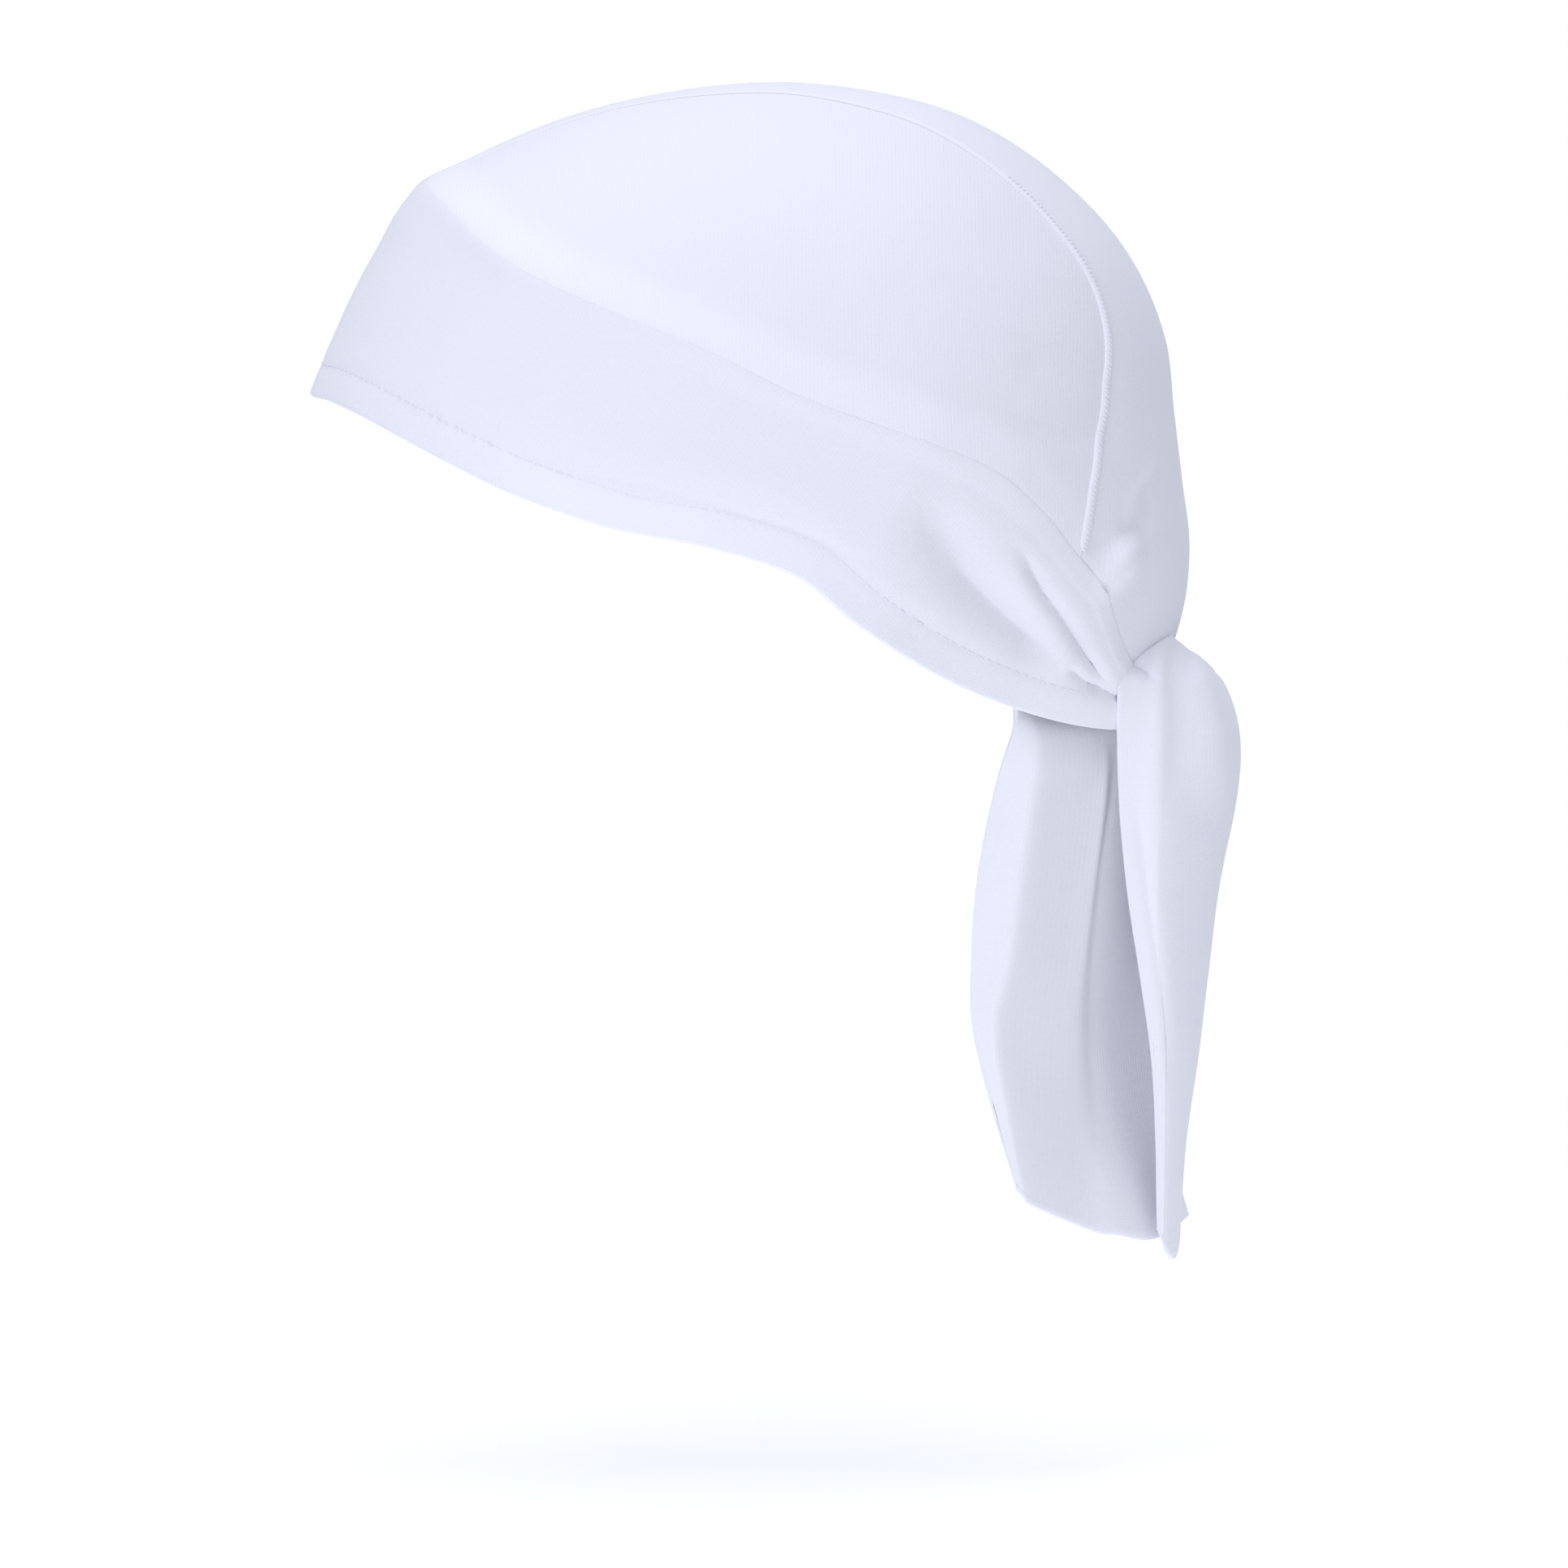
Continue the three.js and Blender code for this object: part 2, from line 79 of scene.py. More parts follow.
# Driving sizes of the cloth
WALL = 1.3  # the cap's panels
HEM_WALL = 1.8  # where the band is turned over and stitched
TIE_WALL = 1.1
TIE_HEM_WALL = 1.45
EDGE_ROWS = [0, 0.04, 0.15, 0.34, 0.6]  # distances of the rows that round an edge
EDGE_ROUND = 0.55  # of the wall's thickness, over which an edge is rounded
EDGE_LEAST = 0.01  # square of the thickness that is left at an edge
FINER_ENDS = {"middle": 2.2, "ends": 0.8, "change": (0.5, 0.65)}  # how wide the band's columns are
HALF_WIDTH = 78  # at the widest place
ROUNDNESS = 2.3  # exponent of the width's curve, 2 is an ellipse
HUB = np.array([0.0, 3.5, -74.3])  # the outline below is measured from here
BACK_RADIUS = 84  # of the crown's curve from front to back, for the knit's rows

# The cap's outline on its middle plane: angle from straight back, up is
# positive, and the distance from the hub in that direction
OUTLINE = [
    (-150, 121), (-120, 124), (-90, 118), (-55, 107), (-40, 104.5),
    (-30, 101.2), (-20, 96.1), (-10, 89.8), (0, 86.6), (10, 86.2),
    (27, 83.8), (42, 80.4), (63, 77.2), (80, 75.5), (92, 75.9),
    (105, 77.8), (118, 81.8), (134, 90), (143, 96), (151, 102.6),
    (160, 105.3), (170, 109.5), (180, 115),
]

# Lower edge of the band from the front back to the knot: x, y, z
RIM = [
    (0, -110.5, -70.7), (18.9, -109, -71.3), (30.4, -105.1, -71.9),
    (45, -96.2, -75.3), (60.5, -77.8, -84.1), (68.9, -58.7, -92.1),
    (73.8, -37.6, -99), (76, -18.1, -102.8), (75.8, 2.8, -109.7),
    (73.6, 14.2, -119.2), (65.9, 34.6, -133.1), (55.3, 51.6, -140.9),
    (38.6, 67.5, -146), (23.9, 76.3, -146.1), (10, 79.5, -145.6),
]

# Upper edge of the band from the front back to the knot: x, y, z
BAND_TOP = [
    (0, -83.3, -22.7), (20.5, -82.2, -23.7), (41.6, -75.7, -29.4),
    (61.2, -60.3, -41.9), (71.4, -40.3, -51.3), (76.8, -15.2, -61.4),
    (77.9, 1.8, -69.5), (77.5, 17, -75.4), (75.2, 33, -81.2),
    (71.6, 46, -87), (67.6, 55.5, -94.6), (59.8, 66.6, -107.6),
    (54.5, 71.6, -114), (47.6, 74.9, -124.3), (36, 78.5, -133),
    (24, 83.5, -135), (10, 86.5, -135.6),
]

# Seam of the centre and the side panel from the front to the back: x, y, z
SEAM = [
    (19, -82.4, -23.6), (20.5, -56, -9), (23, -28, -2),
    (27.5, 0, -1), (34.2, 27, -7), (40.5, 47.8, -20.4),
    (44, 61, -33), (47.1, 71, -48.9), (52.9, 72.1, -71.1),
    (58.8, 68.6, -92), (60.4, 66.2, -106),
]

# The crown's panels go on this far inside the band, and farther at the nape
UNDER_BAND = {"wide": 1.4, "depth": 1.2, "at_nape": 6.5, "widens": (0.1, 0.6)}

# The centre panel's lower end, tucked in under the band and the knot
NAPE = [
    (35, 79, -133.4), (26, 81, -137), (14, 82, -139.5), (0, 82.5, -140),
]
TUCK = {"depth": 1.7, "from": -129, "to": -135.5}
KNOT_DENT = {"depth": 5.5, "width": 9, "place": np.array([0, 82, -146])}
END_BOW = 4  # how soon the panel's ends give way to its side edges
SEAM_SHARE = 0.85  # of the centre panel's length runs along the seam
SEAM_END = 0.004  # of its length, over which it goes inside the band
# The allowances of three seams cross here and make the cloth thick, and it is painted whiter there as
# painted light
THREE_SEAMS_AND_HIGHLIGHT = {"place": np.array([53, 76.5, -107.0]), "width": 6.5, "share": 1.0}

# Folds of the cloth, each along a curve through (y, z) places on the left
# side from front to back. A groove or a crease goes in, a roll comes out, and
# a tuck is a step whose upper side lies over the lower one, a shoulder is a
# roll that is steeper on one side, and a flare goes out down to its line and
# stays out below it.
FOLDS = [
    # name, form, height, width, places
    ("cloth pushed out over the hem", "flare", 3.4, 14,
     [(-84, -76), (-62, -83.5), (-47.8, -86.7), (-31, -90.1), (-11.6, -95.6), (5.1, -101.1),
      (14, -106), (26, -113), (38, -121), (46, -126)]),
    ("crease over the hem", "crease", 1.2, 1.6,
     [(-62, -83.5), (-47.8, -86.7), (-31, -90.1), (-11.6, -95.6), (5.1, -101.1), (12, -104.6),
      (24, -111)]),
    ("deep fold to the knot", "tuck", 0.9, 3,
     [(49, -97.5), (53.1, -104.9), (58.4, -113.5), (63.5, -120.3), (67.3, -127.2), (70.3, -133),
      (73, -139)]),
    ("crease in the deep fold", "crease", 2.4, 1.5,
     [(51, -101.5), (53.1, -105.4), (58.2, -114), (63.3, -120.8), (67, -127.7), (70, -133.5),
      (72.5, -139)]),
    ("roll ahead of the deep fold", "roll", 0.8, 3,
     [(47, -104), (52.5, -112), (58, -120.5), (63, -127.5), (68, -134.5)]),
    ("broad valley to the knot", "groove", 3.1, 6,
     [(24.5, -92.5), (32.5, -98.9), (42, -111.7), (55.8, -124.8), (65.4, -131.4)]),
    ("crease in the broad valley", "crease", 1.3, 2.4,
     [(35.5, -106), (39.8, -110.3), (45, -115.7), (49.5, -120), (54.5, -124.3), (61, -128.4)]),
    ("short fold at the hem", "crease", 1.5, 1.4,
     [(63, -131), (65.5, -134.2), (67.9, -137), (70.5, -139.5)]),
    ("fold at the end of the hem", "crease", 1.4, 1.2,
     [(66.5, -135.5), (69.5, -137.6), (71.8, -139.4), (77, -141.4)]),
    ("upper dent ahead of the seam", "groove", 0.6, 5,
     [(48, -62), (60.3, -64.1), (70.5, -66.5), (79, -68)]),
    ("ridge between the dents", "roll", 0.3, 4,
     [(50, -70), (60, -72), (71, -73)]),
    ("lower dent ahead of the seam", "groove", 0.5, 4.5,
     [(46, -76), (58.5, -77.8), (70, -79), (78, -80)]),
    ("ridge below the dents", "roll", 0.3, 4,
     [(44, -82), (58.5, -84), (69.5, -86.5), (76, -88)]),
    ("puff behind the seam", "shoulder", 3.6, 3,
     [(82.5, -103.5), (77.8, -105.2), (73.8, -109), (71.8, -113.5), (71, -118)]),
    ("crease over the puff", "crease", 0.6, 1.8,
     [(65.5, -106.5), (69.5, -104), (74, -102.3), (79, -101), (83, -100)]),
    ("soft roll at the back", "roll", 0.7, 2,
     [(85, -84), (82, -90), (79, -94.5), (76, -99.5)]),
    ("soft crease at the back", "groove", 0.9, 4,
     [(84, -92), (80, -99), (74, -103)]),
    ("faint crease of the crown", "groove", 0.22, 2.2,
     [(-40, -19.5), (-31.1, -18.5), (-16.4, -19.8), (-8, -21)]),
]
FOLD_FADE = 0.25  # share of a fold over which each of its ends fades
SHOULDER_FADE = 0.5
SHOULDER = {"below": 1.2, "above": 1.6}  # its widths, in widths of the fold
FOLD_ROUND = 0.6  # radius that rounds a crease's bottom and a tuck's edge
FOLD_REACH = 5  # widths from its line, beyond which a fold isn't felt
RIGHT_FOLDS = 0.8  # the right side's folds are this high, and a little moved
RIGHT_SHIFT = np.array([0, 2.5, 1.5])

# The cloth stands out in a corner along the seam of crown and band, less so in
# front, at 0 round the cap, and towards the knot, at 1. Towards the back its two
# edges show as a line, while in front the seam is smooth.
CORNER = {
    "height": 3.8, "above": 15, "below": 24, "step": 1.1, "step_width": 3.4, "round": 2,
}
CORNER_SHARE = [(0, 0.3), (0.25, 1), (0.6, 1), (0.75, 0.15), (1, 0.1)]
OPEN_SEAM = [(0, 0), (0.55, 0), (0.68, 0.42), (0.8, 0.42), (0.87, 0.1), (1, 0.1)]
# The seam of the crown's panels shows from these shares of their length back
CROWN_SEAM = {"shows": 0.3, "on_side": (0.3, 0.6), "on_centre": (0.25, 0.5)}

# The band is pleated and lifts off the nape where it runs into the knot.
PLEATS = {"count": 4, "height": 0.8, "start": 0.86}
LIFT = {
    "height": 10.5, "from": 0.775, "to": 0.98, "above": 0.1, "beside_knot": (6, 15), "fade": 4,
}

# The hem of the band, at most a share of the band's height, and how far it
# flares out (round the cap, how far)
HEM = {"width": 8.4, "share": 0.4, "groove": 0.15, "line": 1.8, "curve": 1.3}
HEM_FLARE = [(0, 0.3), (0.24, 0.4), (0.42, 2.8), (0.6, 2.8), (0.8, 1.2), (1, 0.6)]
# Doubled cloth is painted whiter, partly as painted light, least in front: the hem down to its
# stitches, its cloth that goes on up inside, and the band's seam turned up inside the crown
HEM_WHITE = {"below": 1.2, "above": 0.4, "in_front": 0.1, "change": (0.18, 0.44)}
FACING = {"from": 11, "to": 22, "share": 0.55}
ALLOWANCE = {"from": 5.2, "to": 13, "share": 0.7}
# Towards the knot the turned-in top of the band shows as a second edge
TOP_FOLD = {"width": 4.8, "height": 0.2, "from": 0.5, "to": 0.7, "soft": 0.6}

# Strips along seams, half as wide and high as they are in all: the crown seam's
# welt, which is low at its start, and the turned-in allowances under the cloth
# their share of doubled cloth also paints them whiter, partly as painted light
SEAM_WELT = {"wide": 1.4, "high": 0.65, "start": 0.28, "rises": (0.2, 0.6), "doubled": 0.4}
TURNED_IN = {"wide": 2.6, "high": 0.55, "start": 1, "rises": (0, 1), "doubled": 1}
WELT_TAPER = 2.0  # length over which a strip's end is rounded
UNDER_CLOTH = WALL + 0.2

# Stitches: their distance, half their length and width, how far they are turned
# and how far off the cloth's middle or the seam they lie
SEAM_STITCH = {"pitch": 1.1, "long": 0.7, "wide": 0.2, "slant": 1.1, "off": 0.64}
HEM_STITCH = {"pitch": 2.6, "long": 1, "wide": 0.16, "slant": 0, "off": WALL / 2 + 0.16}
STITCH_FLAT = 0.8  # a stitch's height, as a share of its width
STITCHED_FROM = 180  # of the seam's 300 places, where the welt is high enough

# Slow unevenness of worn cloth, and finer waves that run round the cap
UNEVEN = {"height": 0.22, "size": 30.0}
DRAG = {"height": 0.07, "along": 46, "up": 7, "cut": 7.3}

# The outer tie end: z, then (x, y) of its near hem, front fold, back, far hem
TAIL_OVER = {
    "foot": (-263.5, -268.5, -270, -255),
    "sections": [
        (-127, (43, 76.6), (26, 88.6), (10, 92.4), (-10, 92)),
        (-133, (44.2, 75.9), (37.2, 87.2), (15.5, 97.9), (-11, 96.4)),
        (-140, (44.2, 75.6), (38.8, 88.2), (18, 102.2), (-11.5, 99.5)),
        (-147, (42.8, 75.5), (39, 88.5), (19, 104.5), (-11, 101)),
        (-155, (40.8, 75.7), (38.6, 88.5), (18.5, 105.4), (-10, 101)),
        (-167, (38.4, 76.3), (37.3, 88), (18, 104.2), (-7, 100)),
        (-186, (35, 78.3), (35, 87), (18, 101), (-2, 97)),
        (-205, (32, 81.3), (32.5, 87.5), (18.5, 97.8), (3, 94.5)),
        (-224, (30, 84), (30.5, 88), (20.5, 95.4), (8, 93)),
        (-243, (28.5, 85.1), (28.8, 88), (22, 92.6), (13, 92)),
        (-256, (27.5, 85.4), (27.8, 87.8), (23, 91.5), (16.5, 91.5)),
        (-272, (26.5, 85.8), (26.8, 87.6), (24, 90.3), (20, 91)),
    ],
}

# The inner tie end: z, then (x, y) of its hem, the edge of its turned strip,
# the lip and the valley of its long fold, its back, and its far hem
TAIL_UNDER = {
    "foot": (-253, -255.8, -263.2, -264.7, -266.3, -262.3),
    "sections": [
        (-130, (55.5, 53), (51, 59.5), (40.5, 70.5), (37.5, 73), (31, 76.5), (12, 83)),
        (-138, (51.5, 52.6), (46.5, 54), (33.5, 66), (31.5, 69.5), (27, 74), (9.5, 76)),
        (-146, (50.5, 51.6), (48.5, 57), (37, 71), (35, 75.5), (31, 80), (10, 82)),
        (-152, (48.9, 49.6), (48.4, 57.4), (36.8, 72.4), (34.6, 76.8), (31, 81), (11, 84)),
        (-160, (46.6, 47.3), (47.3, 56.5), (35.9, 72.2), (33.2, 76.4), (29.2, 81.2), (11.5, 85)),
        (-182, (44, 43.2), (46, 53.5), (33.6, 69.8), (29.6, 73.6), (23.8, 79.6), (11, 85)),
        (-200, (43, 42), (45.5, 51), (32, 67.8), (26.4, 72.2), (19.4, 78.8), (10.5, 86)),
        (-214, (42.5, 42.2), (45, 47.8), (31.5, 66.6), (24.4, 71.8), (16.4, 79.5), (10.5, 87)),
        (-236, (42, 47.5), (42.8, 51), (29.7, 67), (24.4, 73.2), (17, 80.8), (10, 88.5)),
        (-253, (41, 52.7), (41.2, 54.6), (30.2, 69), (27.4, 75.2), (21.4, 83), (10, 91.5)),
        (-266, (39, 55.5), (39, 57), (31.5, 70.5), (29.6, 77.2), (24, 85), (10.5, 95.4)),
    ],
}
# The ties' top edges, (share across, z). The outer one curls over inwards, with
# a radius at its near and its far hem, and the inner one lies against the inside
# of the crown.
OVER_TOP = [
    (0, -132), (0.1, -129.6), (0.2, -127), (0.28, -125.1), (0.38, -124.7), (0.47, -125.4),
    (0.56, -127.2), (0.66, -129.6), (0.75, -131.4), (0.85, -135), (0.93, -139), (1, -144),
]
UNDER_TOP = [(0, -131), (1, -132)]
OVER_CURL = {"near": 2.2, "far": 4.2, "turn": 2.5, "share": 0.06}
UNDER_CURL = {"near": 0.5, "far": 0.5, "turn": 0.1, "share": 0.02}
CURL_CHANGE = (0.3, 0.7)  # shares across between which the radius changes
TIE_HEM = {"width": 2.3, "groove": 0.16, "line": 0.5, "below": 0.4, "above": 0.2}
TIE_HEM_SHOWS = (-228, -212)  # its seam fades out upwards
TIE_LENGTH = {"over": 150, "under": 133}
TIE_FOLD_FADE = (-0.04, FOLD_FADE)  # their folds don't fade wholly at their ends
TIE_HEIGHTS = (-275, -125)  # the ties' widths are measured between them
# the turned strip is painted whiter, partly as painted light, so the single face beside it reads as
# painted shade
TURNED = {"over": 0.27, "under": 0.2, "soft": 0.02}  # share turned over along the near edge
# the outer tie's bunched top is thicker and painted whiter, partly as painted light
BUNCHED_AND_PAINTED_LIGHT = {"over": 0.9, "under": 0, "heights": (-168, -136)}  # a bunched top is whiter

# Folds down the ties: form, height, width and places, (share across, z)
OVER_FOLDS = [
    ("crease", 2.2, 1.3, [(0, -129.6), (0.05, -130.4), (0.13, -131.6), (0.2, -133.2), (0.27, -136)]),
    ("roll", 0.5, 4, [(0.24, -126), (0.25, -132), (0.24, -142), (0.22, -156), (0.2, -172)]),
    ("groove", 0.55, 3.8, [(0.35, -128), (0.355, -134), (0.36, -142), (0.35, -152), (0.33, -164)]),
    ("roll", 2.2, 5.2, [(0.48, -132), (0.49, -140), (0.5, -150), (0.48, -168)]),
    ("groove", 0.7, 3, [(0.1, -160), (0.15, -176), (0.22, -199), (0.3, -219), (0.33, -232)]),
    ("groove", 1.2, 6, [(0.72, -130), (0.7, -150), (0.68, -175), (0.68, -205)]),
    ("roll", 0.9, 5, [(0.86, -130), (0.84, -150), (0.82, -180)]),
]
UNDER_FOLDS = [
    ("roll", 0.7, 3, [(0.2, -144), (0.2, -170), (0.2, -205), (0.2, -245)]),
    ("groove", 0.6, 5, [(0.3, -146), (0.29, -176), (0.28, -210), (0.28, -240)]),
    ("roll", 0.8, 2.6, [(0.42, -148), (0.42, -168), (0.41, -190), (0.4, -225)]),
    ("groove", 0.7, 4, [(0.52, -146), (0.53, -180), (0.54, -215), (0.55, -250)]),
]

# The knot: a wrap of pleated cloth round the crossing of the ties
KNOT = {
    "place": np.array([0, 89.6, -142.5]), "half": np.array([15.4, 10.8, 10.0]),
    "pleats": 7, "pleat": 0.13, "twist": 1.1, "waist": 0.12, "waist_width": 0.35,
    "round": 60, "long": 34,
}


# Curves and the form that the cap is pulled over

def smoothstep(value, low, high):
    share = np.clip((value - low) / (high - low), 0, 1)
    return share * share * (3 - 2 * share)


def bell(offset, width):
    return np.exp(-((offset / width) ** 2))


def looked_up(table, at):
    return np.interp(at, *np.transpose(table))


def run_along(places):
    """How far along its line each place lies."""
    return np.r_[0, np.cumsum(np.linalg.norm(np.diff(places, axis=0), axis=1))]


def picked(at, run, rows):
    """Rows read off between those that belong to a run."""
    return np.stack([np.interp(at, run, column) for column in rows.T], -1)


def through(at, values, wanted):
    """Smooth values at the wanted places, through the given ones."""
    at = np.asarray(at, float)
    values = np.asarray(values, float).reshape(len(at), -1)
    wanted = np.atleast_1d(wanted)
    step = np.diff(at)[:, None]
    slope = np.diff(values, axis=0) / step
    middle = (slope[:-1] + slope[1:]) / 2
    tangent = np.vstack([(3 * slope[:1] - middle[:1]) / 2, middle, (3 * slope[-1:] - middle[-1:]) / 2])
    i = np.clip(np.searchsorted(at, wanted, side="right") - 1, 0, len(at) - 2)
    t = (wanted - at[i])[:, None] / step[i]
    return (
        values[i] * (2 * t**3 - 3 * t**2 + 1)
        + tangent[i] * step[i] * (t**3 - 2 * t**2 + t)
        + values[i + 1] * (3 * t**2 - 2 * t**3)
        + tangent[i + 1] * step[i] * (t**3 - t**2)
    )


def unit(vectors):
    return vectors / np.maximum(np.linalg.norm(vectors, axis=-1, keepdims=True), 1e-9)


outline_angles = np.array([angle + turn for turn in (-360, 0, 360) for angle, _ in OUTLINE])
outline_reaches = [reach for _ in range(3) for _, reach in OUTLINE]


def level(back, up):
    """How far out towards the outline a place lies, seen from the side."""
    angles = np.degrees(np.arctan2(up, back))
    return np.hypot(back, up) / through(outline_angles, outline_reaches, angles)[:, 0]


def fullness(points):
    """1 on the form, less inside it."""
    x, back, up = (points - HUB).T
    outward = level(back, up) ** ROUNDNESS + np.abs(x / HALF_WIDTH) ** ROUNDNESS
    return outward ** (1 / ROUNDNESS)


def on_form(points):
    """Moves points to the form, straight away from the hub."""
    return (points - HUB) / fullness(points)[:, None] + HUB


def form_normals(points):
    step = 0.05
    slopes = [fullness(points + step * axis) - fullness(points - step * axis) for axis in np.eye(3)]
    return unit(np.array(slopes).T)


def on_left_side(places):
    """The places on the form's left side that are seen at (y, z) from there."""
    y, z = np.array(places, float).T
    inner = level(y - HUB[1], z - HUB[2]) ** ROUNDNESS
    x = HALF_WIDTH * np.clip(1 - inner, 0, None) ** (1 / ROUNDNESS)
    return np.stack([x, y, z], 1)


DRAWN_FINER = 8  # a line is drawn with more samples than it keeps
AT_ONCE = 2000  # points that are measured together


class Line:
    """A smooth line on the form through a table's places."""

    def __init__(self, places, samples=400):
        places = np.array(places, float)
        chord = run_along(places)
        drawn = on_form(through(chord, places, np.linspace(0, chord[-1], DRAWN_FINER * samples)))
        run = run_along(drawn)
        self.length = run[-1]
        self.share = np.linspace(0, 1, samples)
        self.points = picked(self.share * run[-1], run, drawn)
        self.tangents = unit(np.gradient(self.points, axis=0))
        self.rights = np.cross(self.tangents, form_normals(self.points))

    def at(self, share):
        return picked(share, self.share, self.points)

    def measure(self, points):
        """Signed distance to the right of the line, and the share along it."""
        nearest = np.concatenate([
            ((part[:, None] - self.points[None]) ** 2).sum(2).argmin(1)
            for part in np.array_split(points, len(points) // AT_ONCE + 1)
        ])
        away = points - self.points[nearest]
        inside = (nearest > 0) & (nearest < len(self.points) - 1)
        along = (away * self.tangents[nearest]).sum(1) * inside
        distance = np.linalg.norm(away - along[:, None] * self.tangents[nearest], axis=1)
        sign = np.where((away * self.rights[nearest]).sum(1) < 0, -1, 1)
        return distance * sign, self.share[nearest]


def both_sides(places):
    """A table's line carried round the front to the other side."""
    return [(-x, y, z) for x, y, z in places[:0:-1]] + places


rim = Line(both_sides(RIM), 1200)
band_top = Line(both_sides(BAND_TOP), 1200)
seam = Line(SEAM)
nape = Line(NAPE + [(-x, y, z) for x, y, z in NAPE[-2::-1]])

# Where the seam's ends and the nape's corner lie along the band's upper edge
front_on_band, back_on_band, nape_on_band = (
    band_top.measure(place)[1][0] for place in (seam.points[:1], seam.points[-1:], nape.points[:1])
)


# Height of the cloth over the form

def fold_profile(form, offset, width):
    """Height across a fold; the offset is positive on its lower side."""
    if form == "crease":
        return -np.exp(-(np.sqrt(offset**2 + FOLD_ROUND**2) - FOLD_ROUND) / width)
    if form == "shoulder":
        return bell(offset, np.where(offset > 0, SHOULDER["below"], SHOULDER["above"]) * width)
    over = np.exp(-np.maximum(-offset, 0) / width)
    if form == "flare":
        return over
    if form == "tuck":
        return over / (1 + np.exp(np.clip(offset / FOLD_ROUND, -30, 30)))
    return bell(offset, width) * (1 if form == "roll" else -1)


fold_lines = []
for _name, form, height, width, places in FOLDS:
    left = on_left_side(places)
    right = (left + RIGHT_SHIFT) * (-1, 1, 1)
    fold_lines.append((form, height, width, Line(left, 80), 1))
    fold_lines.append((form, height * RIGHT_FOLDS, width, Line(right, 80), -1))


def folds(points):
    height = np.zeros(len(points))
    for form, fold_height, width, line, down in fold_lines:
        reach = FOLD_REACH * width
        low, high = line.points.min(0) - reach, line.points.max(0) + reach
        near = ((points > low) & (points < high)).all(1)
        if not near.any():
            continue
        offset, share = line.measure(points[near])
        fade_over = SHOULDER_FADE if form == "shoulder" else FOLD_FADE
        fade = smoothstep(np.minimum(share, 1 - share), 0, fade_over)
        height[near] += fold_height * fade * fold_profile(form, offset * down, width)
    return height


def unevenness(points):
    """Slow waves of worn cloth, and finer ones that run round the cap."""
    around = np.arctan2(points[:, 0], -points[:, 1]) * HALF_WIDTH
    heights = []
    for place, run in zip(points, around):
        slow = noise.noise(Vector(place / UNEVEN["size"]))
        fine = noise.noise(Vector((run / DRAG["along"], place[2] / DRAG["up"], DRAG["cut"])))
        heights.append(UNEVEN["height"] * slow + DRAG["height"] * fine)
    return np.array(heights)


def round_cap(on_band):
    """0 in front and 1 at the knot, along either side of the band."""
    return np.abs(on_band - 0.5) * 2


def seam_corner(points):
    """The corner along the seam of crown and band."""
    offset, on_band = band_top.measure(points)
    away = np.sqrt(offset**2 + CORNER["round"] ** 2) - CORNER["round"]
    rise = CORNER["height"] * np.exp(-away / np.where(offset > 0, CORNER["below"], CORNER["above"]))
    lip = np.where(offset > 0, bell(offset, CORNER["step_width"]), np.exp(-away / CORNER["above"]))
    return looked_up(CORNER_SHARE, round_cap(on_band)) * (rise + CORNER["step"] * lip)


def cloth_height(points):
    return seam_corner(points) + folds(points) + unevenness(points)


def raised(points, height):
    return points + form_normals(points) * height[:, None]


def level_outwards(points):
    return unit(form_normals(points) * (1, 1, 0))


# The cap's panels. Each surface takes shares across and up a panel, and gives the middle of its wall,
# the cloth's own coordinates and how far it is doubled, which also paints it whiter, partly as painted
# light.

def band_tall(across):
    return np.linalg.norm(band_top.at(across) - rim.at(across), axis=1)


def hem_width(tall):
    return np.minimum(HEM["width"], HEM["share"] * tall)


def band_lift(to_knot, up):
    """How far the band stands off the nape, level outwards."""
    lifted = smoothstep(to_knot, LIFT["from"], LIFT["to"])
    return LIFT["height"] * lifted * (1 + (LIFT["above"] - 1) * up**2)


def sewn_lift(points):
    """How far the crown's cloth follows the band that it is sewn to."""
    offset, on_band = band_top.measure(points)
    up = 1 - np.clip(offset / band_tall(on_band), 0, 1)
    beside_knot = smoothstep(np.abs(points[:, 0]), *LIFT["beside_knot"])
    fade = np.exp(np.minimum(offset, 0) / LIFT["fade"])
    return band_lift(round_cap(on_band), up) * beside_knot * fade


